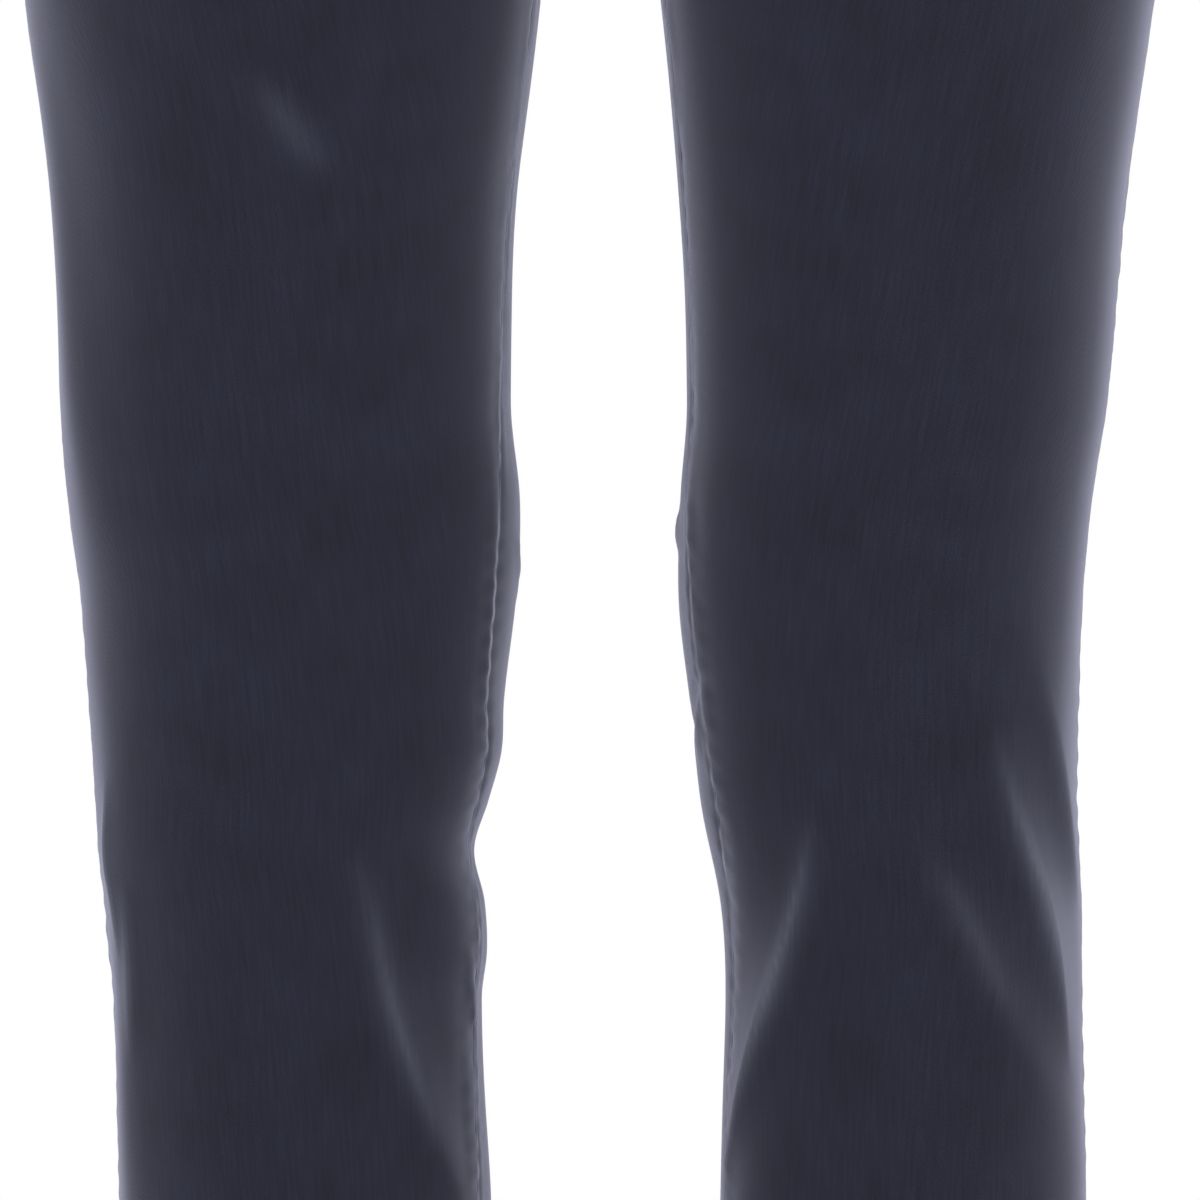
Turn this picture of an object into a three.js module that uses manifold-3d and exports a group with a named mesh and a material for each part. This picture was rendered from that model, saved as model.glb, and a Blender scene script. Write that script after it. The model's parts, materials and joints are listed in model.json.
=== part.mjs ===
// Chino trousers, filled out as if worn: a hollow pair held up at the waistband, with the legs a little
// apart. Millimetres, +Z up. The front faces -Y, so the wearer's left is +X. The origin is the middle of
// the waistband ring.
import * as THREE from "three";
import Module from "manifold-3d";
import { mergeVertices } from "three/addons/utils/BufferGeometryUtils.js";

const wasm = await Module();
wasm.setup();

// Driving sizes
const cloth = { wall: 1.2, seamGap: 0.3, hemTurnUp: 30, hemWall: 2.6 };
const waistband = {
  wall: 2.4, proud: 0.6,
  backRise: 20, over: 230, // how much higher the waist is behind than in front, and over what depth
  evenTo: 84, evenCount: 17, closeFrom: 74, closeCount: 9, // its points, from the centre front
};
const level = { bandTop: 20, waistSeam: -20, crotch: -230, hem: -1020 };
const fly = {
  bottom: -160, fade: 14, edgePastCentre: 9, rightFrontStopsAt: 1, raise: 3.6, edgeRaise: 1.5,
  raiseFull: 8, raiseGone: 45, shieldWidth: 32, shieldUnderRight: 20, shieldBottom: -178,
};
const underlap = { length: 34, raise: 2.7, raiseFull: 37, raiseGone: 82 };
const frontPocket = { fromSideSeam: 50, depth: 152, facingStopsAbove: 6, facingRamp: 20, insideMouth: 1.5 };
const backPocket = { fromCentreSeam: 48, width: 135, z: -85, lip: 7, slot: 0.4, buttonBelow: 20 };
const beltLoop = { width: 11, wall: 1.2, fromCentreBack: [0, 115, 228, 336] };
// Its lengthwise profile: tacked to the panel under the waist seam and to the band's top edge, and
// standing off the band between. lift is from the cloth's surface to the loop's underside.
const loopProfile = [
  { z: -31, lift: 0.3 }, { z: -26, lift: 0.3 }, { z: -21.5, lift: 0.9 },
  { z: -16, lift: 3.2 }, { z: -6, lift: 3.7 }, { z: 4, lift: 3.7 }, { z: 12, lift: 3.2 },
  { z: 16.5, lift: 0.9 }, { z: 19.4, lift: 0.9 },
];
const button = {
  waistWidth: 17, pocketWidth: 15, thickness: 2.8,
  rim: 1.6, underEdge: 0.9, topEdge: 0.65, dish: 1, dishSlope: 0.8,
  hole: 0.95, holeFromCentre: 1.14, sides: 20, holeSides: 6,
  offBand: 0.5, offPanel: 0.6, fromCentreFront: 6, // beside the seam gap that each keeps from the cloth
};
const zip = {
  top: -24, bottom: -150, tapeFrom: -14, tapeTo: 18, tapeUnder: 0.6, tapeWall: 0.9, shieldUnder: 0.5,
  chainWidth: 5.4, chainCentre: 2, chainTop: 0.1, chainSide: 0.05,
};
const slider = {
  below: 5, bodyLength: 9, pullLength: 20, neck: 1, width: 7.4, pullWidth: 4.6, above: 0.3, thickness: 1.2,
};

// Sections of each leg, from the waist down. out and inn are how far the leg's oval reaches from the
// centre plane, to its outer and inner side; above the crotch the two ovals run through each other (inn is
// negative there). front and back are its reach in Y, widest is the Y of its widest line, bridge is how
// softly the two legs join, and inseam is how far forward of the innermost line the inseam lies, in
// degrees round the leg.
const hipRows = [
  { z: 30, out: 155, inn: -155, front: -105, back: 111, widest: 2, bridge: 0.1, inseam: 0 },
  { z: 20, out: 156, inn: -156, front: -106, back: 112, widest: 2, bridge: 0.1, inseam: 0 },
  { z: -20, out: 160, inn: -158, front: -109, back: 117, widest: 2, bridge: 1, inseam: 0 },
  { z: -70, out: 181, inn: -138, front: -113, back: 128, widest: 3, bridge: 14, inseam: 0 },
  { z: -110, out: 194, inn: -106, front: -114, back: 135, widest: 4, bridge: 26, inseam: 0 },
  { z: -150, out: 201, inn: -62, front: -113, back: 136, widest: 5, bridge: 30, inseam: 0 },
  { z: -185, out: 204, inn: -22, front: -111, back: 131, widest: 6, bridge: 28, inseam: 0 },
  { z: -210, out: 205, inn: -4, front: -109, back: 124, widest: 6, bridge: 26, inseam: 0 },
  { z: -230, out: 205, inn: 6.3, front: -107, back: 117, widest: 6, bridge: 25, inseam: 0 },
  { z: -245, out: 205, inn: 9.6, front: -106, back: 112, widest: 5, bridge: 25, inseam: 3 },
  { z: -265, out: 204, inn: 11.6, front: -105, back: 107, widest: 4, bridge: 25, inseam: 6 },
  { z: -300, out: 202, inn: 14.5, front: -103, back: 98, widest: 2, bridge: 24, inseam: 11 },
  { z: -340, out: 198, inn: 17.5, front: -100, back: 89, widest: 0, bridge: 22, inseam: 15 },
];
const rightLegRows = [
  { z: -375, out: 196.5, inn: 19.5, front: -97, back: 82, widest: -2, bridge: 20, inseam: 16 },
  { z: -444, out: 186.5, inn: 28, front: -90, back: 72, widest: -4, bridge: 20, inseam: 18 },
  { z: -513, out: 184.5, inn: 30, front: -83, back: 65, widest: -4, bridge: 20, inseam: 22 },
  { z: -548, out: 182.2, inn: 26.6, front: -80, back: 63, widest: -3, bridge: 20, inseam: 28 },
  { z: -582, out: 177.5, inn: 28, front: -77, back: 63, widest: -2, bridge: 20, inseam: 30 },
  { z: -617, out: 175, inn: 32, front: -72, back: 66, widest: 0, bridge: 20, inseam: 28 },
  { z: -634, out: 174, inn: 33, front: -69.5, back: 68.5, widest: 1.5, bridge: 20, inseam: 26 },
  { z: -651, out: 173, inn: 37.5, front: -67, back: 71, widest: 3, bridge: 20, inseam: 24 },
  { z: -668, out: 172, inn: 42.2, front: -65, back: 74, widest: 5, bridge: 20, inseam: 20 },
  { z: -686, out: 170, inn: 38.4, front: -63, back: 76, widest: 6, bridge: 20, inseam: 22 },
  { z: -703, out: 168.5, inn: 37.6, front: -61.5, back: 77, widest: 7, bridge: 20, inseam: 22.5 },
  { z: -720, out: 167, inn: 39.5, front: -60, back: 78, widest: 8, bridge: 20, inseam: 23 },
  { z: -789, out: 165, inn: 37, front: -56, back: 78, widest: 10, bridge: 20, inseam: 25 },
  { z: -870, out: 163, inn: 38, front: -53, back: 75, widest: 11, bridge: 20, inseam: 24 },
  { z: -1020, out: 160, inn: 41, front: -52, back: 70, widest: 10, bridge: 20, inseam: 22 },
];
const leftLegRows = [
  { z: -375, out: 192, inn: 21.5, front: -97, back: 82, widest: -2, bridge: 20, inseam: 16 },
  { z: -444, out: 182, inn: 28.6, front: -90, back: 72, widest: -4, bridge: 20, inseam: 15 },
  { z: -513, out: 175.7, inn: 31.5, front: -83, back: 65, widest: -4, bridge: 20, inseam: 16 },
  { z: -548, out: 170, inn: 28.5, front: -80, back: 63, widest: -3, bridge: 20, inseam: 21 },
  { z: -582, out: 167, inn: 28, front: -77, back: 63, widest: -2, bridge: 20, inseam: 26 },
  { z: -617, out: 165.8, inn: 31.8, front: -72, back: 66, widest: 0, bridge: 20, inseam: 25 },
  { z: -651, out: 165.5, inn: 36, front: -67, back: 71, widest: 3, bridge: 20, inseam: 28 },
  { z: -686, out: 167, inn: 43, front: -63, back: 76, widest: 6, bridge: 20, inseam: 23 },
  { z: -720, out: 167.3, inn: 44.4, front: -60, back: 78, widest: 8, bridge: 20, inseam: 22 },
  { z: -789, out: 169, inn: 42, front: -56, back: 78, widest: 10, bridge: 20, inseam: 18 },
  { z: -870, out: 168, inn: 43, front: -53, back: 75, widest: 11, bridge: 20, inseam: 20 },
  { z: -1020, out: 166, inn: 46, front: -52, back: 70, widest: 10, bridge: 20, inseam: 22 },
];
const sections = { 1: [...hipRows, ...leftLegRows], "-1": [...hipRows, ...rightLegRows] };
const squareness = { front: 2.35, back: 2.15 };
const outseamForward = 4;

// The largest folds. Each runs along its leg from z0 to z1 while its angle goes from a0 to a1, in degrees
// round the leg: 0 is the outer side, 90 the front, 180 the inner side and 270 the back. bow bends its line
// by so many degrees halfway, rise is its height, and soft is its half width in millimetres.
const folds = [
  { leg: 1, z0: -632, a0: 107, z1: -786, a1: 164, bow: -6, rise: 2.6, soft: 12 },
  { leg: 1, z0: -604, a0: 65, z1: -746, a1: 31, bow: 3, rise: 2.6, soft: 12 },
  { leg: 1, z0: -586, a0: 50, z1: -694, a1: 20, bow: 0, rise: 2, soft: 14 },
  { leg: 1, z0: -640, a0: 92, z1: -770, a1: 42, bow: 0, rise: 1.9, soft: 15 },
  { leg: -1, z0: -650, a0: 111, z1: -800, a1: 148, bow: -10, rise: 2.8, soft: 12 },
  { leg: -1, z0: -600, a0: 36, z1: -840, a1: 30, bow: 0, rise: 2.6, soft: 15 },
  { leg: -1, z0: -350, a0: 12, z1: -590, a1: 40, bow: 0, rise: 2.8, soft: 17 },
  { leg: -1, z0: -355, a0: 70, z1: -470, a1: 112, bow: 0, rise: 1.6, soft: 18 },
  { leg: 1, z0: -250, a0: 262, z1: -480, a1: 300, bow: 0, rise: 5, soft: 18 },
  { leg: -1, z0: -240, a0: 258, z1: -500, a1: 305, bow: 0, rise: 4.8, soft: 18 },
  { leg: 1, z0: -560, a0: 300, z1: -640, a1: 232, bow: 0, rise: 5, soft: 14 },
  { leg: -1, z0: -548, a0: 238, z1: -650, a1: 304, bow: 0, rise: 4.8, soft: 14 },
  { leg: 1, z0: -640, a0: 312, z1: -760, a1: 246, bow: 0, rise: 4.4, soft: 15 },
  { leg: -1, z0: -630, a0: 226, z1: -770, a1: 296, bow: 0, rise: 4.4, soft: 15 },
];

const V = (x, y, z) => new THREE.Vector3(x, y, z);
const { clamp, smoothstep, lerp } = THREE.MathUtils;
const radians = THREE.MathUtils.degToRad;
const away = (v, full, gone) => 1 - smoothstep(v, full, gone);
const halvings = 44; // steps of each search for a surface
const farOut = 400;

// One column of a table at height z, on a smooth curve through its rows.
function atHeight(rows, column, z) {
  const last = rows.length - 1;
  let i = 0;
  while (i < last - 1 && z < rows[i + 1].z) i++;
  const slope = (j) => {
    const a = rows[Math.max(j - 1, 0)];
    const b = rows[Math.min(j + 1, last)];
    return (b[column] - a[column]) / (b.z - a.z);
  };
  const a = rows[i];
  const b = rows[i + 1];
  const span = b.z - a.z;
  const t = clamp((z - a.z) / span, 0, 1);
  const t2 = t * t;
  const t3 = t2 * t;
  return (
    (2 * t3 - 3 * t2 + 1) * a[column] + (t3 - 2 * t2 + t) * span * slope(i) +
    (3 * t2 - 2 * t3) * b[column] + (t3 - t2) * span * slope(i + 1)
  );
}

const columns = ["out", "inn", "front", "back", "widest", "bridge", "inseam"];
const known = new Map();
function sectionAt(leg, z) {
  const key = leg + ":" + z.toFixed(4);
  if (!known.has(key)) {
    const values = columns.map((c) => [c, atHeight(sections[leg], c, z)]);
    known.set(key, Object.fromEntries(values));
  }
  return known.get(key);
}

// How far a point lies outside one leg's oval, negative inside it. x is measured outwards from the centre
// plane.
function legField(section, x, y) {
  const centre = (section.out + section.inn) / 2;
  const halfWidth = (section.out - section.inn) / 2;
  const isFront = y < section.widest;
  const halfDepth = isFront ? section.widest - section.front : section.back - section.widest;
  const n = isFront ? squareness.front : squareness.back;
  const across = Math.abs(x - centre) / halfWidth;
  const deep = Math.abs(y - section.widest) / halfDepth;
  return ((across ** n + deep ** n) ** (1 / n) - 1) * 0.5 * (halfWidth + halfDepth);
}

// The same for the whole garment: both ovals, joined softly where they come near each other.
function bodyField(x, y, z) {
  const leg = x < 0 ? -1 : 1;
  const own = sectionAt(leg, z);
  const a = legField(own, Math.abs(x), y);
  const b = legField(sectionAt(-leg, z), -Math.abs(x), y);
  const near = Math.max(own.bridge - Math.abs(a - b), 0) / own.bridge;
  return Math.min(a, b) - near * near * own.bridge * 0.25;
}

// Where the centre seam runs at height z, in front (toFront 1) or behind (toFront -1); null below the
// crotch.
function centreSeamY(z, toFront) {
  const middle = sectionAt(1, z).widest;
  if (z <= level.crotch + 1e-6 || bodyField(0, middle, z) >= 0) return null;
  let inside = 0;
  let outside = farOut;
  for (let i = 0; i < halvings; i++) {
    const half = (inside + outside) / 2;
    if (bodyField(0, middle - toFront * half, z) < 0) inside = half;
    else outside = half;
  }
  return middle - toFront * inside;
}

// How high the folds stand at one place. The angle is in degrees round the leg.
function foldHeight(leg, z, angle, radius) {
  let height = 0;
  for (const f of folds) {
    if (f.leg !== leg || z > f.z0 || z < f.z1) continue;
    const along = (z - f.z0) / (f.z1 - f.z0);
    const turn = angle - lerp(f.a0, f.a1, along) - 4 * f.bow * along * (1 - along);
    const wrapped = turn - 360 * Math.round(turn / 360);
    const lean = Math.hypot(1, (radians(f.a1 - f.a0) * radius) / (f.z1 - f.z0));
    const off = (radians(wrapped) * radius) / lean / f.soft;
    height += f.rise * Math.sin(Math.PI * along) ** 1.2 * Math.exp(-off * off);
  }
  return height;
}

// A point of the cloth's outer surface at a height and an angle round a leg, and the direction out of it.
function clothPoint(leg, z, angle) {
  const s = sectionAt(leg, z);
  const centre = (s.out + s.inn) / 2;
  const dx = Math.cos(radians(angle));
  const dy = -Math.sin(radians(angle));
  const field = (r) => bodyField(leg * Math.max(centre + r * dx, 0), s.widest + r * dy, z);
  let inside = 0;
  let outside = dx < 0 ? Math.min(centre / -dx, farOut) : farOut;
  for (let i = 0; i < halvings; i++) {
    const half = (inside + outside) / 2;
    if (field(half) < 0) inside = half;
    else outside = half;
  }
  const point = V(leg * Math.max(centre + inside * dx, 0), s.widest + inside * dy, z);
  const e = 0.4;
  const slope = (ax) => {
    const d = V(0, 0, 0).setComponent(ax, e);
    const p = point.clone().add(d);
    const m = point.clone().sub(d);
    return bodyField(p.x, p.y, p.z) - bodyField(m.x, m.y, m.z);
  };
  const normal = V(slope(0), slope(1), slope(2)).normalize();
  return { point: point.addScaledVector(normal, foldHeight(leg, z, angle, inside)), normal };
}

// A level line of the cloth, from the side seam to the centre seam or inseam, measured in millimetres
// along it.
const rowSteps = 72;
function levelRow(leg, z, face) {
  const s = sectionAt(leg, z);
  const centre = (s.out + s.inn) / 2;
  const seamY = centreSeamY(z, face === "front" ? 1 : -1);
  let last = 180 - (z < level.crotch ? s.inseam : 0);
  if (seamY !== null) last = THREE.MathUtils.radToDeg(Math.atan2(s.widest - seamY, -centre));
  else if (face === "back") last -= 360;
  const samples = [];
  let length = 0;
  for (let i = 0; i <= rowSteps; i++) {
    const sample = clothPoint(leg, z, lerp(outseamForward, last, i / rowSteps));
    if (seamY !== null && i === rowSteps) {
      sample.point.x = 0;
      sample.normal.setX(0).normalize();
    }
    if (i) length += sample.point.distanceTo(samples[i - 1].point);
    samples.push({ ...sample, at: length });
  }
  const find = (distance) => {
    let i = 1;
    while (i < rowSteps && samples[i].at < distance) i++;
    const a = samples[i - 1];
    const b = samples[i];
    const t = (distance - a.at) / (b.at - a.at);
    const normal = a.normal.clone().lerp(b.normal, t).normalize();
    return { point: a.point.clone().lerp(b.point, t), normal };
  };
  // lift is how far out of the cloth; past the centre seam the row goes on over the other half.
  const at = (distance, lift) => {
    const over = distance > length;
    const { point, normal } = find(over ? 2 * length - distance : distance);
    if (over) {
      point.x *= -1;
      normal.x *= -1;
    }
    return point.addScaledVector(normal, lift);
  };
  return { length, at };
}
const rowsMade = new Map();
function row(leg, z, face) {
  const key = [leg, z.toFixed(4), face].join();
  if (!rowsMade.has(key)) rowsMade.set(key, levelRow(leg, z, face));
  return rowsMade.get(key);
}

// Worn trousers stand a little higher behind than in front: everything near the waist leans with it.
function leaned(p) {
  const share = smoothstep(p.z, level.crotch, level.waistSeam);
  return V(p.x, p.y, p.z + (waistband.backRise / waistband.over) * p.y * share);
}

// A closed wall between two grids of points, the outer one and the inner one. Where the grids run the
// wrong way round, as on the other half of the garment, the faces are turned.
function wall(outer, inner) {
  const rows = outer.length;
  const cols = outer[0].length;
  const points = [...outer.flat(), ...inner.flat()].map(leaned);
  const faces = [];
  const quad = (a, b, c, d) => faces.push(a, b, c, a, c, d);
  const o = (r, c) => r * cols + c;
  const i = (r, c) => rows * cols + r * cols + c;
  for (let r = 0; r < rows - 1; r++) {
    for (let c = 0; c < cols - 1; c++) {
      quad(o(r, c), o(r + 1, c), o(r + 1, c + 1), o(r, c + 1));
      quad(i(r, c), i(r, c + 1), i(r + 1, c + 1), i(r + 1, c));
    }
    quad(o(r, 0), i(r, 0), i(r + 1, 0), o(r + 1, 0));
    quad(o(r, cols - 1), o(r + 1, cols - 1), i(r + 1, cols - 1), i(r, cols - 1));
  }
  for (let c = 0; c < cols - 1; c++) {
    quad(o(0, c), o(0, c + 1), i(0, c + 1), i(0, c));
    quad(o(rows - 1, c), i(rows - 1, c), i(rows - 1, c + 1), o(rows - 1, c + 1));
  }
  return facingOut(points, faces);
}

function facingOut(points, faces) {
  let volume = 0;
  for (let k = 0; k < faces.length; k += 3) {
    const [a, b, c] = [0, 1, 2].map((j) => points[faces[k + j]]);
    volume += a.dot(b.clone().cross(c));
  }
  const index = volume < 0 ? [...faces].reverse() : faces;
  const geometry = new THREE.BufferGeometry();
  geometry.setAttribute("position", new THREE.Float32BufferAttribute(points.flatMap((p) => p.toArray()), 3));
  return geometry.setIndex(index);
}

const evenly = (a, b, count) => Array.from({ length: count + 1 }, (_, k) => lerp(a, b, k / count));

// A strip of cloth with a row of points at each of the heights. stops(z, row) are the points' places on a
// level row, in millimetres from the side seam, and top(z, d, row) and under(z, d, row) are the strip's
// two faces, out of the cloth's surface. A height may also be a function of how far along its row a point
// is.
function strip({ leg, face, heights, count, stops, top, under, trim = (p) => p }) {
  const grid = (lift) =>
    heights.map((height) => Array.from({ length: count + 1 }, (_, k) => {
      const z = typeof height === "number" ? height : height(k / count);
      const r = row(leg, z, face);
      const d = stops(z, r)[k];
      return trim(r.at(d, lift(z, d, r)), z);
    }));
  return wall(grid(top), grid(under));
}

const halfGap = cloth.seamGap / 2;
const flyShare = (z) => smoothstep(z, fly.bottom - fly.fade, fly.bottom);

// Heights of the panels' rows, closer at the knee's folds. At the crotch the rows are even at the side
// seam and close up at the inner side, where the centre seam turns under.
const knee = { top: -560, bottom: -776 };
const turnUp = level.hem + cloth.hemTurnUp;
const crotchRows = { top: -172, bottom: -288, steps: [1, 4.5, 11, 21, 35] };
const above = crotchRows.steps.map((h) => level.crotch + h).reverse();
const seamHeights = [...above, level.crotch, ...crotchRows.steps.map((h) => level.crotch - h)];
const sideHeights = evenly(crotchRows.top, crotchRows.bottom, seamHeights.length + 1);
const loopFoot = loopProfile[0].z;
const upperHeights = [level.waistSeam - halfGap, loopFoot, -52, -76, -100, -126, zip.bottom, crotchRows.top];
const panelHeights = [
  ...upperHeights,
  ...seamHeights.map((z, k) => (share) => lerp(sideHeights[k + 1], z, smoothstep(share, 0, 1))),
  ...evenly(crotchRows.bottom, knee.top, 8),
  ...evenly(knee.top, knee.bottom, 10).slice(1),
  ...evenly(knee.bottom, turnUp + 2, 6).slice(1),
  turnUp, level.hem + 15, level.hem,
];
const panelCount = 12;

// The pocket's mouth, as a distance from the side seam along the level row.
const pocketBottom = level.waistSeam - frontPocket.depth;
const pocketMouth = (z) => (frontPocket.fromSideSeam * (z - pocketBottom)) / frontPocket.depth;

// The left front stands proud where the fly lies over the zip and the right front.
function flyRaise(z, pastSide, length) {
  const inward = length - pastSide;
  const shape = inward < 0
    ? lerp(fly.raise, fly.edgeRaise, clamp(-inward / fly.edgePastCentre, 0, 1))
    : fly.raise * away(inward, fly.raiseFull, fly.raiseGone);
  return shape * smoothstep(z, fly.bottom - 3 * fly.fade, fly.bottom - fly.fade);
}
const wallAt = (z) => (z <= turnUp ? cloth.hemWall : cloth.wall);

// The front's points on a level row: even ones, then closer ones where the fly's fold rises, thinning down
// the leg.
const byTheFly = [54, 36, 17, 9, 0];
function frontStops(leg, z, r) {
  const share = flyShare(z);
  const edge = r.length - halfGap + share * (leg > 0 ? fly.edgePastCentre : -fly.rightFrontStopsAt);
  const from = Math.max(halfGap, pocketMouth(z));
  const inner = byTheFly.map((d) => edge - d * lerp(0.5, 1, share));
  return [...evenly(from, inner[0], panelCount + 1 - inner.length).slice(0, -1), ...inner];
}

function frontPanel(leg) {
  const raise = (z, d, r) => (leg > 0 ? flyRaise(z, d, r.length) : 0);
  return strip({
    leg, face: "front", heights: panelHeights, count: panelCount,
    stops: (z, r) => frontStops(leg, z, r),
    top: raise,
    under: (z, d, r) => raise(z, d, r) - wallAt(z),
    trim: (p, z) => (flyShare(z) > 0 ? p : clearOfCentre(p, leg)),
  });
}

function backPanel(leg) {
  return strip({
    leg, face: "back", heights: panelHeights, count: panelCount,
    stops: (z, r) => evenly(halfGap, r.length - halfGap, panelCount),
    top: () => 0,
    under: (z) => -wallAt(z),
    trim: (p) => clearOfCentre(p, leg),
  });
}

function clearOfCentre(p, leg) {
  return V(leg * Math.max(leg * p.x, halfGap), p.y, p.z);
}

// The pocket's facing: flush with the back at the side seam, and one wall lower where the front's mouth
// lies over it.
function pocketFacing(leg) {
  const low = cloth.wall + cloth.seamGap;
  const sunkBy = (z) => pocketMouth(z) - frontPocket.insideMouth;
  const sunk = (z, d) => -low * smoothstep(d, sunkBy(z) - frontPocket.facingRamp, sunkBy(z));
  const heights = [...upperHeights.slice(0, -1), pocketBottom + frontPocket.facingStopsAbove];
  return strip({
    leg, face: "front", heights, count: 6,
    stops: (z, r) => [...evenly(halfGap, sunkBy(z), 4), ...frontStops(leg, z, r).slice(0, 2)],
    top: sunk,
    under: (z, d) => sunk(z, d) - cloth.wall,
  });
}

// A waistband half runs from the centre back round to the front. The left half ends over the fly, the
// right half runs on under it.
function bandRow(leg, z) {
  const back = row(leg, z, "back");
  const front = row(leg, z, "front");
  return { length: back.length + front.length, back, front };
}
function onBand(leg, z, fromCentreBack, lift) {
  const { back, front } = bandRow(leg, z);
  if (fromCentreBack < 0) return V(-1, 1, 1).multiply(back.at(back.length + fromCentreBack, lift));
  if (fromCentreBack <= back.length) return back.at(back.length - fromCentreBack, lift);
  return front.at(fromCentreBack - back.length, lift);
}
function waistbandHalf(leg) {
  const heights = evenly(level.waistSeam + halfGap, level.bandTop, 2);
  const { raiseFull, raiseGone } = underlap;
  const raise = (inward) => (leg > 0 ? underlap.raise * away(inward, raiseFull, raiseGone) : 0);
  const grid = (lift) =>
    heights.map((z) => {
      const { length } = bandRow(leg, z);
      const end = length + (leg > 0 ? fly.edgePastCentre : underlap.length);
      const stops = [
        ...evenly(halfGap, length - waistband.evenTo, waistband.evenCount),
        ...evenly(length - waistband.closeFrom, end, waistband.closeCount),
      ];
      return stops.map((d) => onBand(leg, z, d, lift + raise(length - d)));
    });
  return wall(grid(waistband.proud), grid(waistband.proud - waistband.wall));
}

// Pieces behind the fly, given across the centre front: x is the distance from it, plus on the wearer's
// left.
function behindFly(heights, stops, top, under) {
  const grid = (lift) =>
    heights.map((z) => {
      const front = row(-1, z, "front");
      return stops.map((x) => front.at(front.length + x, lift(x)));
    });
  return wall(grid(top), grid(under));
}
const tapeTop = -cloth.wall - zip.tapeUnder;
const tapeUnder = tapeTop - zip.tapeWall;
const leastStep = 5;
function between(top, bottom) {
  return [top, ...upperHeights.filter((z) => z < top - leastStep && z > bottom + leastStep), bottom];
}
function zipTapeAndChain() {
  const from = zip.chainCentre - zip.chainWidth / 2;
  const to = zip.chainCentre + zip.chainWidth / 2;
  const stops = [zip.tapeFrom, from - zip.chainSide, from, to, to + zip.chainSide, zip.tapeTo];
  const top = (x) => (x >= from && x <= to ? zip.chainTop : tapeTop);
  return behindFly(between(zip.top, zip.bottom), stops, top, () => tapeUnder);
}
function flyShield() {
  const top = tapeUnder - zip.shieldUnder;
  return behindFly(
    between(level.waistSeam - cloth.seamGap, fly.shieldBottom),
    evenly(-fly.shieldUnderRight, fly.shieldWidth, 5), () => top, () => top - cloth.wall,
  );
}
function zipSlider() {
  const head = zip.chainTop + slider.above;
  const bodyTop = zip.top - slider.below;
  const bodyEnd = bodyTop - slider.bodyLength;
  const pull = evenly(bodyEnd - slider.neck, bodyEnd - slider.pullLength, 3);
  const heights = [...evenly(bodyTop, bodyEnd, 2), ...pull];
  const edge = (z) => (z >= bodyEnd ? slider.width : slider.pullWidth) / 2;
  const grid = (lift) =>
    heights.map((z) => {
      const front = row(-1, z, "front");
      return evenly(-1, 1, 3).map((k) => front.at(front.length + zip.chainCentre + k * edge(z), lift));
    });
  return wall(grid(head + slider.thickness), grid(head));
}

// A welt of the back pocket: a narrow strip that lies on the back.
function welt(leg, which) {
  const z = backPocket.z + (which * backPocket.slot) / 2;
  return strip({
    leg, face: "back", heights: [z, z + which * backPocket.lip], count: 9,
    stops: (h, r) => {
      const end = r.length - backPocket.fromCentreSeam;
      return evenly(end - backPocket.width, end, 9);
    },
    top: () => cloth.seamGap + cloth.wall,
    under: () => cloth.seamGap,
  });
}

function loopOf(leg, fromCentreBack) {
  const half = beltLoop.width / 2;
  const place = (z, x, lift) => onBand(leg, z, fromCentreBack + x, lift);
  const grid = (more) => loopProfile.map(({ z, lift }) => [-half, half].map((x) => place(z, x, lift + more)));
  return wall(grid(beltLoop.wall), grid(0));
}

// A four-hole button with a raised rim, turned about its axis; the axis is +Z until it is placed.
function buttonSolid(width) {
  const r = width / 2;
  const { thickness, rim, underEdge, topEdge, dish, dishSlope, holeFromCentre } = button;
  const profile = [
    [0, 0], [r - underEdge, 0], [r, underEdge], [r, thickness - topEdge], [r - topEdge, thickness],
    [r - rim, thickness - 0.2 * dish], [r - rim - dishSlope, thickness - dish], [0, thickness - dish],
  ].map(([x, y]) => new THREE.Vector2(x, y));
  const disc = asSolid(new THREE.LatheGeometry(profile, button.sides).rotateX(Math.PI / 2));
  const holes = [[1, 1], [1, -1], [-1, 1], [-1, -1]].map(([x, y]) => {
    const pin = new THREE.CylinderGeometry(button.hole, button.hole, 3 * thickness, button.holeSides);
    return asSolid(pin.rotateX(Math.PI / 2).translate(x * holeFromCentre, y * holeFromCentre, 0));
  });
  return asGeometry(holes.reduce((solid, hole) => solid.subtract(hole), disc));
}
function asSolid(geometry) {
  geometry.deleteAttribute("normal");
  geometry.deleteAttribute("uv");
  const merged = mergeVertices(geometry, 1e-4);
  return new wasm.Manifold(new wasm.Mesh({
    numProp: 3,
    vertProperties: merged.attributes.position.array,
    triVerts: new Uint32Array(merged.index.array),
  }));
}
function asGeometry(solid) {
  const made = solid.getMesh();
  return new THREE.BufferGeometry()
    .setAttribute("position", new THREE.BufferAttribute(made.vertProperties, 3))
    .setIndex(new THREE.BufferAttribute(made.triVerts, 1));
}

// Lays a button on the cloth. at(lift) is a point over the place where it is sewn on, and foot is how far
// its underside is from the cloth.
function laidButton(name, width, at, foot) {
  const mesh = piece(name, buttonSolid(width), horn);
  const under = leaned(at(foot));
  const out = leaned(at(foot + width)).sub(under).normalize();
  mesh.quaternion.setFromUnitVectors(V(0, 0, 1), out);
  mesh.position.copy(under);
  return mesh;
}

const navy = new THREE.MeshStandardMaterial({ color: 0x2e2e3e, roughness: 0.85, metalness: 0 });
const horn = new THREE.MeshStandardMaterial({ color: 0x2a2624, roughness: 0.4, metalness: 0 });
const brass = new THREE.MeshStandardMaterial({ color: 0x6d6353, roughness: 0.45, metalness: 0.9 });

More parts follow.
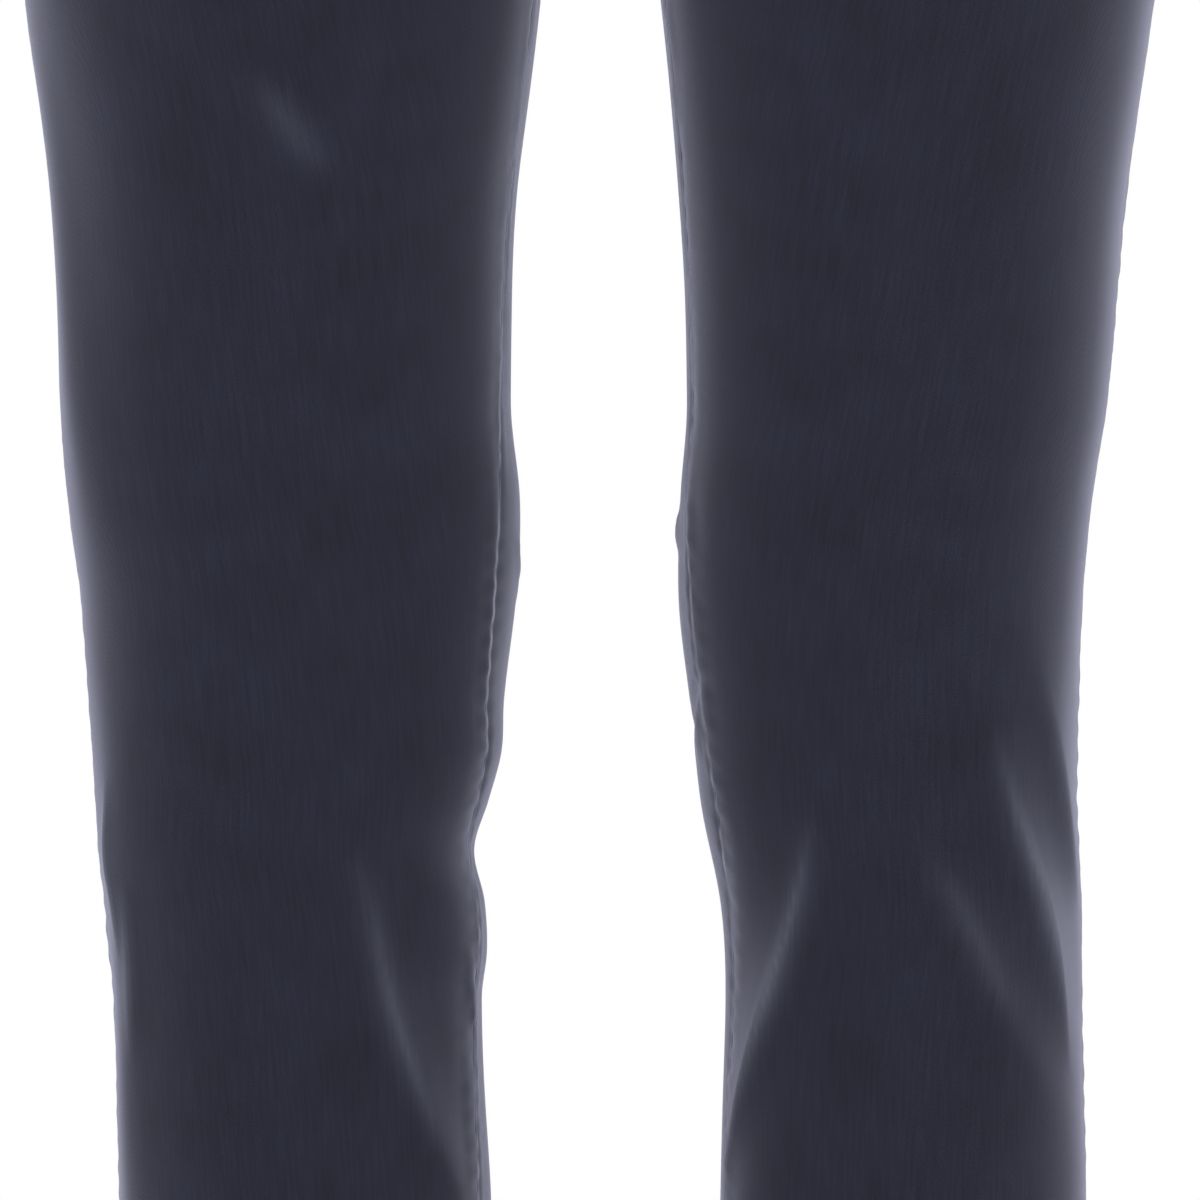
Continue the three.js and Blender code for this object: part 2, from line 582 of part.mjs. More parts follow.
function piece(name, geometry, material) {
  const mesh = new THREE.Mesh(geometry, material);
  mesh.name = name;
  return mesh;
}

const trousers = new THREE.Group();
const sides = [[1, "left"], [-1, "right"]];
for (const [leg, side] of sides) {
  trousers.add(piece("front_" + side, frontPanel(leg), navy));
  trousers.add(piece("back_" + side, backPanel(leg), navy));
  trousers.add(piece("waistband_" + side, waistbandHalf(leg), navy));
  trousers.add(piece("pocket_facing_" + side, pocketFacing(leg), navy));
  trousers.add(piece("back_welt_upper_" + side, welt(leg, 1), navy));
  trousers.add(piece("back_welt_lower_" + side, welt(leg, -1), navy));
  beltLoop.fromCentreBack.forEach((distance, k) => {
    if (k) trousers.add(piece(`belt_loop_${side}_${k}`, loopOf(leg, distance), navy));
  });
  const z = backPocket.z - backPocket.buttonBelow;
  const r = row(leg, z, "back");
  const middle = r.length - backPocket.fromCentreSeam - backPocket.width / 2;
  const overPanel = (lift) => r.at(middle, lift);
  const foot = cloth.seamGap + button.offPanel;
  trousers.add(laidButton("back_button_" + side, button.pocketWidth, overPanel, foot));
}
trousers.add(piece("belt_loop_centre_back", loopOf(1, 0), navy));
trousers.add(piece("fly_shield", flyShield(), navy));
trousers.add(piece("zip", zipTapeAndChain(), brass));
trousers.add(piece("zip_slider", zipSlider(), brass));

const bandMiddle = 0;
const buttonAt = bandRow(1, bandMiddle).length - button.fromCentreFront;
const overBand = (lift) => onBand(1, bandMiddle, buttonAt, lift);
const overFly = waistband.proud + underlap.raise + cloth.seamGap + button.offBand;
trousers.add(laidButton("waist_button", button.waistWidth, overBand, overFly));

export default trousers;
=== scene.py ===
# Chino trousers in navy cotton twill, filled out as worn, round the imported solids.
import json
import math

import bmesh
import bpy
import numpy as np
from mathutils import Matrix, Vector


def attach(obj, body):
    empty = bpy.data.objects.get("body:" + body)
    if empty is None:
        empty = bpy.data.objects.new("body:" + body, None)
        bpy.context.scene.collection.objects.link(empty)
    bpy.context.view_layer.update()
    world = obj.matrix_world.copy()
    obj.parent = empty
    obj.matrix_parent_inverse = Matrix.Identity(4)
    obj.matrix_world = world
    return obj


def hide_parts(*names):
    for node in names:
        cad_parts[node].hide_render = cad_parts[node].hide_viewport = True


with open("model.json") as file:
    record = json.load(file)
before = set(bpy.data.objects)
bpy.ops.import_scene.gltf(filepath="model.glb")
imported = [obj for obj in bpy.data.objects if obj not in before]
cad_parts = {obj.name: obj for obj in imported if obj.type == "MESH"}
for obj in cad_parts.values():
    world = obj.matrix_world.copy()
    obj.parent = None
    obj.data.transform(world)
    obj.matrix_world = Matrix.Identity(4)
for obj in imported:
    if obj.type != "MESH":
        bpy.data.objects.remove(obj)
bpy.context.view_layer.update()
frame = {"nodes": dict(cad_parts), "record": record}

mm = 0.001  # sizes below are in millimetres, meshes are in metres
print("frame loaded")


# The camera, straight in front of the knees
camera = {
    "seenHeight": 414,  # what the frame shows at the legs
    "topBelowCrotch": 145,  # of the frame
    "centreX": 1,
    "distance": 3300,
    "lens": 200,
}
level = {"bandTop": 20, "waistSeam": -20, "crotch": -230, "hem": -1020}
cloth = {"wall": 1.2, "seamGap": 0.04, "hemTurnUp": 30, "hemWall": 2.6, "edgeRound": 0.5}
halfGap = cloth["seamGap"] / 2
turnUp = level["hem"] + cloth["hemTurnUp"]
sides = [(1, "left"), (-1, "right")]


def addCamera():
    data = bpy.data.cameras.new("front_camera")
    data.lens = camera["lens"]
    data.sensor_fit = "HORIZONTAL"
    data.sensor_width = camera["lens"] * camera["seenHeight"] / camera["distance"]
    data.clip_end = 50
    eye = bpy.data.objects.new("front_camera", data)
    bpy.context.collection.objects.link(eye)
    middle = level["crotch"] - camera["topBelowCrotch"] - camera["seenHeight"] / 2
    eye.location = Vector((camera["centreX"], -camera["distance"], middle)) * mm
    eye.rotation_euler = (math.pi / 2, 0, 0)
    bpy.context.scene.camera = eye


addCamera()

# The trousers' form. Each row is a level section of one leg: how far its oval reaches from the centre
# plane to the outer and inner side, its front and back, its widest line, how softly the legs join, and
# how far forward of the innermost line the inseam lies, in degrees.
sectionColumns = ("z", "out", "inn", "front", "back", "widest", "bridge", "inseam")
hipSections = [
    (30, 155, -155, -105, 111, 2, 0.1, 0),
    (20, 156, -156, -106, 112, 2, 0.1, 0),
    (-20, 160, -158, -109, 117, 2, 1, 0),
    (-70, 181, -138, -113, 128, 3, 14, 0),
    (-110, 194, -106, -114, 135, 4, 26, 0),
    (-150, 201, -62, -113, 136, 5, 30, 0),
    (-185, 204, -22, -111, 131, 6, 28, 0),
    (-210, 205, -4, -109, 124, 6, 26, 0),
    (-230, 205, 6.3, -107, 117, 6, 25, 0),
    (-245, 205, 9.6, -106, 112, 5, 25, 3),
    (-265, 204, 11.6, -105, 107, 4, 25, 6),
    (-300, 202, 14.5, -103, 98, 2, 24, 11),
    (-340, 198, 17.5, -100, 89, 0, 22, 15),
]
rightLegSections = [
    (-375, 196.5, 19.5, -97, 82, -2, 20, 16),
    (-444, 186.5, 28, -90, 72, -4, 20, 18),
    (-513, 184.5, 30, -83, 65, -4, 20, 22),
    (-548, 182.2, 26.6, -80, 63, -3, 20, 28),
    (-582, 177.5, 28, -77, 63, -2, 20, 30),
    (-617, 175, 32, -72, 66, 0, 20, 28),
    (-634, 174, 33, -69.5, 68.5, 1.5, 20, 26),
    (-651, 173, 37.5, -67, 71, 3, 20, 24),
    (-668, 172, 42.2, -65, 74, 5, 20, 20),
    (-686, 170, 38.4, -63, 76, 6, 20, 22),
    (-703, 168.5, 37.6, -61.5, 77, 7, 20, 22.5),
    (-720, 167, 39.5, -60, 78, 8, 20, 23),
    (-789, 165, 37, -56, 78, 10, 20, 25),
    (-870, 163, 38, -53, 75, 11, 20, 24),
    (-1020, 160, 41, -52, 70, 10, 20, 22),
]
leftLegSections = [
    (-375, 192, 21.5, -97, 82, -2, 20, 16),
    (-444, 182, 28.6, -90, 72, -4, 20, 15),
    (-513, 175.7, 31.5, -83, 65, -4, 20, 16),
    (-548, 170, 28.5, -80, 63, -3, 20, 21),
    (-582, 167, 28, -77, 63, -2, 20, 26),
    (-617, 165.8, 31.8, -72, 66, 0, 20, 25),
    (-651, 165.5, 36, -67, 71, 3, 20, 28),
    (-686, 167, 43, -63, 76, 6, 20, 23),
    (-720, 167.3, 44.4, -60, 78, 8, 20, 22),
    (-789, 169, 42, -56, 78, 10, 20, 18),
    (-870, 168, 43, -53, 75, 11, 20, 20),
    (-1020, 166, 46, -52, 70, 10, 20, 22),
]
sections = {1: np.array(hipSections + leftLegSections), -1: np.array(hipSections + rightLegSections)}
squareness = {"front": 2.35, "back": 2.15}
outseamForward = 4

# Folds run along a leg (1 is the wearer's left) from z0 to z1 while their angle goes from a0 to a1, in
# degrees round it: 0 is the outer side, 90 the front, 180 the inner side and 270 the back. bow bends the
# line, rise is the height, soft the half width, and edge is 2 for a round fold, less for a sharper one.
foldColumns = ("leg", "z0", "a0", "z1", "a1", "bow", "rise", "soft", "edge")
mainFolds = [
    (1, -632, 107, -786, 164, -6, 2.6, 12, 2),
    (1, -604, 65, -746, 31, 3, 2.6, 12, 2),
    (1, -586, 50, -694, 20, 0, 2.0, 14, 2),
    (1, -640, 92, -770, 42, 0, 1.9, 15, 2),
    (-1, -650, 111, -800, 148, -10, 2.8, 12, 2),
    (-1, -600, 36, -840, 30, 0, 2.6, 15, 2),
    (-1, -350, 12, -590, 40, 0, 2.8, 17, 2),
    (-1, -355, 70, -470, 112, 0, 1.6, 18, 2),
    (1, -250, 262, -480, 300, 0, 5.0, 18, 2),
    (-1, -240, 258, -500, 305, 0, 4.8, 18, 2),
    (1, -560, 300, -640, 232, 0, 5.0, 14, 2),
    (-1, -548, 238, -650, 304, 0, 4.8, 14, 2),
    (1, -640, 312, -760, 246, 0, 4.4, 15, 2),
    (-1, -630, 226, -770, 296, 0, 4.4, 15, 2),
]
fineCreases = [  # crisper, on top of the main folds
    (1, -644, 111, -790, 165, -6, 2.6, 4.5, 1.1),
    (1, -616, 63.5, -746, 31, 3, 2.5, 5, 1.15),
    (1, -600, 47, -690, 22, 1, 1.4, 5.5, 1.4),
    (1, -652, 87, -750, 48, 2, 1.2, 7, 1.6),
    (1, -549, 187, -566, 178, 0, 1.5, 6, 2),
    (1, -604, 150, -634, 192, 0, -1.8, 4, 1.6),
    (1, -614, 160, -640, 166, 0, 1.1, 3, 1.4),
    (-1, -654, 111.2, -796, 147, -10, 1.7, 5.5, 1.3),
    (-1, -640, 30, -708, 33, 0, 1.6, 4, 1.3),
    (-1, -676, 40, -742, 37, 0, 1.5, 4, 1.3),
    (-1, -556, 168, -584, 178, 0, 1.0, 4, 1.6),
    (-1, -700, 150, -734, 160, 0, 1.2, 4, 1.4),
    (-1, -400, 84, -446, 102, 0, 1.0, 8, 1.7),
    # the hidden sides: behind the knees, under the seat and up from the crotch
    (1, -574, 293, -628, 242, 4, 1.9, 5, 1.3),
    (1, -602, 286, -646, 252, 0, 1.2, 4.5, 1.5),
    (1, -652, 305, -726, 256, 3, 1.5, 5.5, 1.4),
    (-1, -562, 244, -630, 296, -4, 1.8, 5, 1.3),
    (-1, -606, 250, -640, 278, 0, 1.1, 4.5, 1.5),
    (-1, -648, 234, -734, 288, -3, 1.6, 5.5, 1.4),
    (1, -258, 264, -392, 290, 3, 1.5, 7, 1.5),
    (1, -250, 246, -330, 262, 0, 1.2, 6, 1.6),
    (-1, -252, 260, -408, 294, 3, 1.5, 7, 1.5),
    (-1, -256, 244, -322, 258, 0, 1.1, 6, 1.6),
    (1, -240, 152, -172, 84, 0, 1.9, 6, 1.5),
    (1, -258, 146, -214, 74, 0, 1.5, 6.5, 1.6),
    (-1, -238, 150, -178, 80, 0, 1.8, 6, 1.5),
    (-1, -262, 148, -206, 66, 0, 1.5, 6.5, 1.6),
]
details = mainFolds + fineCreases
sharpest = {"rise": 2.4, "power": 1.8}  # the crease height painted palest as a highlight, and how closely that painted highlight keeps to a crest
foldTaper = 1.2
# how the surface and the centre seam are found by halving, in millimetres and steps
search = {"farOut": 400, "halvings": 30, "seamOut": 200, "seamHalvings": 36, "normalStep": 0.4}


def smoothstep(v, a, b):
    t = np.clip((v - a) / (b - a), 0, 1)
    return t * t * (3 - 2 * t)


def lerp(a, b, t):
    return a + (b - a) * t


def bell(distance, width):
    # 1 in the middle, falling softly to almost nothing two widths away
    return np.exp(-(distance / width) ** 2)


def asArrays(*values):
    return (np.array(v, float) for v in np.broadcast_arrays(*values))


def throughRows(table, column, z):
    # one column of a table at heights z, on a smooth curve through its rows
    heights, values = table[:, 0], table[:, column]
    last = len(heights) - 1
    i = np.clip(np.searchsorted(-heights, -z, side="right") - 1, 0, last - 1)

    def slope(j):
        before, after = np.maximum(j - 1, 0), np.minimum(j + 1, last)
        return (values[after] - values[before]) / (heights[after] - heights[before])

    span = heights[i + 1] - heights[i]
    t = np.clip((z - heights[i]) / span, 0, 1)
    t2, t3 = t * t, t * t * t
    ends = (2 * t3 - 3 * t2 + 1) * values[i] + (3 * t2 - 2 * t3) * values[i + 1]
    return ends + ((t3 - 2 * t2 + t) * slope(i) + (t3 - t2) * slope(i + 1)) * span


def sectionAt(leg, z):
    return {name: throughRows(sections[leg], k, z) for k, name in enumerate(sectionColumns) if k}


def legField(s, x, y):
    # how far a point lies outside one leg's oval
    centre, halfWidth = (s["out"] + s["inn"]) / 2, (s["out"] - s["inn"]) / 2
    isFront = y < s["widest"]
    halfDepth = np.where(isFront, s["widest"] - s["front"], s["back"] - s["widest"])
    n = np.where(isFront, squareness["front"], squareness["back"])
    across, deep = np.abs(x - centre) / halfWidth, np.abs(y - s["widest"]) / halfDepth
    return ((across ** n + deep ** n) ** (1 / n) - 1) * 0.5 * (halfWidth + halfDepth)


def bodyField(own, other, x, y):
    # the same for both legs joined softly; x runs outwards from the centre plane
    a, b = legField(own, np.abs(x), y), legField(other, -np.abs(x), y)
    near = np.maximum(own["bridge"] - np.abs(a - b), 0) / own["bridge"]
    return np.minimum(a, b) - near * near * own["bridge"] * 0.25


def foldHeight(folds, leg, z, angle, radius):
    height = np.zeros_like(z)
    for row in folds:
        f = dict(zip(foldColumns, row))
        if f["leg"] != leg:
            continue
        along = (z - f["z0"]) / (f["z1"] - f["z0"])
        inside = (along > 0) & (along < 1)
        along = np.clip(along, 0, 1)
        turn = angle - lerp(f["a0"], f["a1"], along) - 4 * f["bow"] * along * (1 - along)
        turn = np.radians(turn - 360 * np.round(turn / 360))
        lean = np.hypot(1, math.radians(f["a1"] - f["a0"]) * radius / (f["z1"] - f["z0"]))
        off = np.abs(turn * radius / lean / f["soft"])
        height += inside * f["rise"] * np.sin(math.pi * along) ** foldTaper * np.exp(-off ** f["edge"])
    return height


def bareSurface(leg, z, angle):
    # the smooth form at heights and angles round a leg: x outwards, y, the outward normal and the radius
    own, other = sectionAt(leg, z), sectionAt(-leg, z)
    centre = (own["out"] + own["inn"]) / 2
    dx, dy = np.cos(np.radians(angle)), -np.sin(np.radians(angle))
    toCentrePlane = np.where(dx < -1e-9, centre / np.maximum(-dx, 1e-9), search["farOut"])
    near, far = np.zeros_like(z), np.minimum(toCentrePlane, search["farOut"])
    for _ in range(search["halvings"]):
        half = (near + far) / 2
        x, y = np.maximum(centre + half * dx, 0), own["widest"] + half * dy
        inside = bodyField(own, other, x, y) < 0
        near, far = np.where(inside, half, near), np.where(inside, far, half)
    x, y = np.maximum(centre + near * dx, 0), own["widest"] + near * dy
    e = search["normalStep"]
    higher = (sectionAt(leg, z + e), sectionAt(-leg, z + e))
    lower = (sectionAt(leg, z - e), sectionAt(-leg, z - e))
    normal = np.stack([
        bodyField(own, other, x + e, y) - bodyField(own, other, x - e, y),
        bodyField(own, other, x, y + e) - bodyField(own, other, x, y - e),
        bodyField(*higher, x, y) - bodyField(*lower, x, y),
    ], -1)
    return x, y, normal / np.linalg.norm(normal, axis=-1, keepdims=True), near


def clothSurface(leg, z, angle, folds=mainFolds):
    # points in the trousers' own frame before the lean, and normals
    z, angle = asArrays(z, angle)
    x, y, normal, radius = bareSurface(leg, z, angle)
    points = np.stack([x, y, z], -1) + normal * foldHeight(folds, leg, z, angle, radius)[..., None]
    side = np.array([leg, 1, 1])
    return points * side, normal * side


def creaseCrests(leg, z, angle):
    # 1 along the crests of the sharpest creases, where a highlight is painted
    height = foldHeight(fineCreases, leg, z, angle, bareSurface(leg, z, angle)[3])
    return np.clip(height / sharpest["rise"], 0, 1) ** sharpest["power"]


def centreSeamY(z, toFront):
    # where the centre seam runs, in front or behind; only above the crotch
    s = sectionAt(1, z)
    near, far = np.zeros_like(z), np.full_like(z, search["seamOut"])
    for _ in range(search["seamHalvings"]):
        half = (near + far) / 2
        inside = bodyField(s, s, np.zeros_like(z), s["widest"] - toFront * half) < 0
        near, far = np.where(inside, half, near), np.where(inside, far, half)
    return s["widest"] - toFront * near


def lastAngle(leg, face, z):
    # the angle at which a level row ends: at the centre seam, or at the inseam below the crotch
    s = sectionAt(leg, z)
    toFront = 1 if face == "front" else -1
    atSeam = np.degrees(np.arctan2(s["widest"] - centreSeamY(z, toFront), -(s["out"] + s["inn"]) / 2))
    below = 180 - np.where(z < level["crotch"], s["inseam"], 0) - (0 if face == "front" else 360)
    return np.where(z > level["crotch"] + 1e-6, atSeam, below)


rowSamples = 73


def levelRows(leg, face, z):
    # for each height, angles along its row and their distances from the side seam
    last = lastAngle(leg, face, z)
    angles = outseamForward + (last - outseamForward)[:, None] * np.linspace(0, 1, rowSamples)
    points, _ = clothSurface(leg, z[:, None], angles)
    steps = np.linalg.norm(np.diff(points, axis=1), axis=2)
    return angles, np.concatenate([np.zeros((len(z), 1)), np.cumsum(steps, axis=1)], axis=1)


def angleAt(rows, distance):
    # the angle at a distance from the side seam, for each row; past the row's end it goes on as far again
    angles, at = rows
    length = at[:, -1]
    over = distance > length
    inside = np.where(over, 2 * length - distance, distance)
    found = np.array([np.interp(d, at[k], angles[k]) for k, d in enumerate(inside)])
    return np.where(over, 2 * angles[:, -1] - found, found)


def anglesFor(leg, face, z, distance):
    # the same for any places, with each one's row length; places at one height share a row
    heights, which = np.unique(np.round(z, 3), return_inverse=True)
    angles, at = levelRows(leg, face, heights)
    found = np.empty(len(z))
    groups = np.split(np.argsort(which, kind="stable"), np.cumsum(np.bincount(which))[:-1])
    for k, places in enumerate(groups):
        d, length = distance[places], at[k, -1]
        turned = np.interp(np.where(d > length, 2 * length - d, d), at[k], angles[k])
        found[places] = np.where(d > length, 2 * angles[k, -1] - turned, turned)
    return found, at[which, -1]


def placed(leg, face, z, angle, lift, folds=mainFolds):
    # points of the cloth, moved out by lift; past the centre seam they lie on the other half
    heights, which = np.unique(np.round(z, 3), return_inverse=True)
    last = lastAngle(leg, face, heights)[which].reshape(z.shape)
    over = (angle > last + 1e-3) if face == "front" else (angle < last - 1e-3)
    points, normal = clothSurface(leg, z, np.where(over, 2 * last - angle, angle), folds)
    flip = np.where(over, -1, 1)
    points[..., 0] *= flip
    normal[..., 0] *= flip
    return points + normal * np.asarray(lift)[..., None]


def onPanel(leg, face):
    # a place on the front or back: height, distance from the side seam and lift off the finished cloth
    def spot(z, distance, lift):
        z, distance, lift = asArrays(z, distance, lift)
        angle, length = anglesFor(leg, face, z.ravel(), distance.ravel())
        angle, length = angle.reshape(z.shape), length.reshape(z.shape)
        base = placed(leg, face, z, angle, np.zeros_like(z), details)
        more = relief(leg, face, base, z, distance, length - distance)
        return leaned(placed(leg, face, z, angle, lift + more, details))
    return spot


def rowLength(leg, face, z):
    return levelRows(leg, face, np.atleast_1d(np.array(z, float)))[1][:, -1]


def onBand(leg):
    # a place round the waist: height, distance from the centre back and lift off the smooth form
    def spot(z, distance, lift):
        z, distance, lift = asArrays(z, distance, lift)
        zs, ds, ls = z.ravel(), np.abs(distance.ravel()), lift.ravel()
        angle, backLength = anglesFor(leg, "back", zs, np.zeros_like(zs))
        points = np.empty((len(zs), 3))
        for face, here in (("back", ds <= backLength), ("front", ds > backLength)):
            if here.any():
                along = np.where(face == "back", backLength - ds, ds - backLength)[here]
                angle = anglesFor(leg, face, zs[here], along)[0]
                points[here] = leaned(placed(leg, face, zs[here], angle, ls[here]))
        points[:, 0] *= np.where(distance.ravel() < 0, -1, 1)
        return points.reshape(z.shape + (3,))
    return spot


backRise, seatDepth = 20, 230


def leaned(p):
    # worn trousers stand a little higher behind than in front
    share = smoothstep(p[..., 2], level["crotch"], level["waistSeam"])
    out = p.copy()
    out[..., 2] += backRise / seatDepth * p[..., 1] * share
    return out


# Mesh helpers
def deselectAll():
    for o in bpy.context.selected_objects:
        o.select_set(False)


def newMesh(name, points, faces, uv=None, attributes=None):
    mesh = bpy.data.meshes.new(name)
    mesh.from_pydata((np.asarray(points) * mm).tolist(), [], np.asarray(faces).tolist())
    mesh.update()
    if uv is not None:
        layer = mesh.uv_layers.new(name="clothUv")
        index = np.empty(len(mesh.loops), np.int32)
        mesh.loops.foreach_get("vertex_index", index)
        layer.data.foreach_set("uv", (np.asarray(uv) * mm)[index].ravel())
    for key, values in (attributes or {}).items():
        layer = mesh.attributes.new(key, "FLOAT", "POINT")
        layer.data.foreach_set("value", np.asarray(values, np.float32).ravel())
    mesh.polygons.foreach_set("use_smooth", np.ones(len(mesh.polygons), bool))
    made = bpy.data.objects.new(name, mesh)
    bpy.context.collection.objects.link(made)
    return made


def facesOfWall(rows, cols):
    # quads of a closed wall between an outer and an inner grid
    r, c = np.meshgrid(np.arange(rows - 1), np.arange(cols - 1), indexing="ij")
    o = (r * cols + c).ravel()
    n = rows * cols
    outer = np.stack([o, o + cols, o + cols + 1, o + 1], 1)
    inner = np.stack([o, o + 1, o + cols + 1, o + cols], 1) + n
    a = np.arange(rows - 1) * cols
    b = a + cols - 1
    top = np.arange(cols - 1)
    low = top + (rows - 1) * cols
    return np.concatenate([
        outer, inner,
        np.stack([a, a + n, a + cols + n, a + cols], 1),
        np.stack([b, b + cols, b + cols + n, b + n], 1),
        np.stack([top, top + 1, top + 1 + n, top + n], 1),
        np.stack([low, low + n, low + 1 + n, low + 1], 1),
    ])


def wallMesh(name, outer, inner, uv, attributes=None):
    rows, cols = outer.shape[:2]
    points = np.concatenate([outer.reshape(-1, 3), inner.reshape(-1, 3)])
    faces = facesOfWall(rows, cols)
    corners = points[faces]
    volume = np.einsum("ij,ij->i", corners[:, 0], np.cross(corners[:, 1], corners[:, 2])).sum()
    volume += np.einsum("ij,ij->i", corners[:, 0], np.cross(corners[:, 2], corners[:, 3])).sum()
    if volume < 0:
        faces = faces[:, ::-1]
    both = {key: np.concatenate([v.ravel(), v.ravel()]) for key, v in (attributes or {}).items()}
    return newMesh(name, points, faces, np.concatenate([uv.reshape(-1, 2)] * 2), both)


def roundedOff(distance, radius=cloth["edgeRound"]):
    # how far a face draws in towards the wall's middle near an edge
    t = np.clip(1 - distance / radius, 0, 1)
    return radius * (1 - np.sqrt(np.maximum(1 - t * t, 0)))


edgeSteps = np.array([0, 0.12, 0.35, 0.8, 1.5, 2.5, 4, 6, 8.4])


def stopsBetween(a, b, spacing):
    # distances from a to b, closer near both ends
    middle = np.linspace(a + edgeSteps[-1], b - edgeSteps[-1], max(int((b - a) / spacing), 2))
    return np.concatenate([a + edgeSteps[:-1], middle, (b - edgeSteps[:-1])[::-1]])


def arcLengths(points, axis):
    steps = np.linalg.norm(np.diff(points, axis=axis), axis=2)
    zero = np.zeros_like(np.take(steps, [0], axis=axis))
    return np.concatenate([zero, np.cumsum(steps, axis=axis)], axis=axis)


def toNearestEdge(across, down):
    # each point's distance from the nearest edge of a strip, from its arc lengths both ways
    return np.minimum(np.minimum(across, across[:, -1:] - across), np.minimum(down, down[-1:] - down))


pieces, cuts = {}, {}


def measureCut(name, base):
    # a cloth piece's flat size in millimetres: its widest row, its longest column and its area
    across, down = arcLengths(base, 1)[:, -1].max(), arcLengths(base, 0)[-1].max()
    cells = np.cross(base[1:, :-1] - base[:-1, :-1], base[:-1, 1:] - base[:-1, :-1])
    cuts[name] = (across, down, min(np.linalg.norm(cells, axis=2).sum(), across * down))


def keep(piece, material, slot, *replaced):
    piece.data.materials.clear()
    piece.data.materials.append(material)
    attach(piece, "root")
    if replaced:
        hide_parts(*replaced)
    pieces[piece.name.split(".")[0]] = piece


# Materials. The group clothGrain gives twill ribs, slubs and blotches from the cloth's own UV map.
def socket(group, name, inOut, kind, value=None):
    made = group.interface.new_socket(name=name, in_out=inOut, socket_type=kind)
    if value is not None:
        made.default_value = value
    return made


def node(tree, kind, **settings):
    made = tree.nodes.new(kind)
    for key, value in settings.items():
        setattr(made, key, value)
    return made


def mathNode(tree, operation, a, b=None):
    made = node(tree, "ShaderNodeMath", operation=operation)
    for place, value in enumerate((a, b)):
        if value is None:
            continue
        if isinstance(value, (int, float)):
            made.inputs[place].default_value = value
        else:
            tree.links.new(value, made.inputs[place])
    return made.outputs[0]


def weighed(tree, a, weightOfA, b, weightOfB):
    first, second = mathNode(tree, "MULTIPLY", a, weightOfA), mathNode(tree, "MULTIPLY", b, weightOfB)
    return mathNode(tree, "ADD", first, second)


def noiseNode(tree, vector, scale, detail, stretch=None):
    made = node(tree, "ShaderNodeTexNoise")
    made.inputs["Scale"].default_value = scale
    made.inputs["Detail"].default_value = detail
    if stretch:
        mapping = node(tree, "ShaderNodeMapping")
        mapping.inputs["Scale"].default_value = stretch
        tree.links.new(vector, mapping.inputs["Vector"])
        vector = mapping.outputs[0]
    tree.links.new(vector, made.inputs["Vector"])
    return made


weave = {
    "pitch": 0.0006, "ribAcross": 0.89, "ribUp": 0.45,  # twill ribs climb two up for one across
    "ribHeight": 0.35, "yarn": (2600, 420, 1), "yarnDetail": 3,
    "blotch": 34, "blotchDetail": 4, "blotchShare": 0.45,
    "streak": (900, 45, 1), "streakDetail": 2, "streakShare": 0.55,
    "bumpDepth": 0.0002,
}


def clothGrainGroup():
    group = bpy.data.node_groups.new("clothGrain", "ShaderNodeTree")
    socket(group, "Vector", "INPUT", "NodeSocketVector")
    socket(group, "Pitch", "INPUT", "NodeSocketFloat", weave["pitch"])
    socket(group, "Height", "OUTPUT", "NodeSocketFloat")
    socket(group, "Shade", "OUTPUT", "NodeSocketFloat")
    put, out = node(group, "NodeGroupInput"), node(group, "NodeGroupOutput")
    vector = put.outputs["Vector"]
    split = node(group, "ShaderNodeSeparateXYZ")
    group.links.new(vector, split.inputs[0])
    slant = weighed(group, split.outputs[0], weave["ribAcross"], split.outputs[1], weave["ribUp"])
    turns = mathNode(group, "DIVIDE", slant, put.outputs["Pitch"])
    rib = mathNode(group, "SINE", mathNode(group, "MULTIPLY", turns, 2 * math.pi))
    yarn = noiseNode(group, vector, 1, weave["yarnDetail"], weave["yarn"])
    ribs = mathNode(group, "MULTIPLY", rib, weave["ribHeight"])
    height = mathNode(group, "ADD", ribs, yarn.outputs["Fac"])
    group.links.new(height, out.inputs["Height"])
    blotch = noiseNode(group, vector, weave["blotch"], weave["blotchDetail"]).outputs["Fac"]
    streak = noiseNode(group, vector, 1, weave["streakDetail"], weave["streak"]).outputs["Fac"]
    shade = weighed(group, blotch, weave["blotchShare"], streak, weave["streakShare"])
    group.links.new(shade, out.inputs["Shade"])
    return group


clothGrain = clothGrainGroup()
# the pale colour is mixed in by a per-point attribute: real wear at seams and hem, and painted highlights on
# the crease crests and along the inseam turning
navy = {"deep": (0.0135, 0.0138, 0.024), "light": (0.0215, 0.0222, 0.0425), "worn": (0.46, 0.49, 0.62, 1)}
wearAndHighlightUneven = 0.4  # added to the grain's shade, which makes the pale wear and the painted highlights patchy
clothFinish = {"shades": (0.32, 0.68), "roughness": 0.8}
fuzz = {"specular": 0.15, "roughness": 0.41, "tint": (0.765, 0.77, 1.0, 1)}
mottling = {"detail": 5, "distortion": 1.2, "shades": (0.35, 0.65), "roughnessSwing": 0.07}


def giveSheen(shader, weight):
    shader.inputs["Specular IOR Level"].default_value = fuzz["specular"]
    shader.inputs["Sheen Weight"].default_value = weight
    shader.inputs["Sheen Roughness"].default_value = fuzz["roughness"]
    shader.inputs["Sheen Tint"].default_value = fuzz["tint"]


def newMaterial(name):
    made = bpy.data.materials.new(name)
    made.use_nodes = True
    return made, made.node_tree, made.node_tree.nodes["Principled BSDF"]


def rampNode(tree, value, places, colours):
    made = node(tree, "ShaderNodeValToRGB")
    for element, place, colour in zip(made.color_ramp.elements, places, colours):
        element.position = place
        element.color = tuple(colour) + (1,)
    tree.links.new(value, made.inputs[0])
    return made.outputs[0]


def giveBump(tree, shader, height, strength):
    made = node(tree, "ShaderNodeBump")
    made.inputs["Strength"].default_value = strength
    made.inputs["Distance"].default_value = weave["bumpDepth"]
    tree.links.new(height, made.inputs["Height"])
    tree.links.new(made.outputs[0], shader.inputs["Normal"])


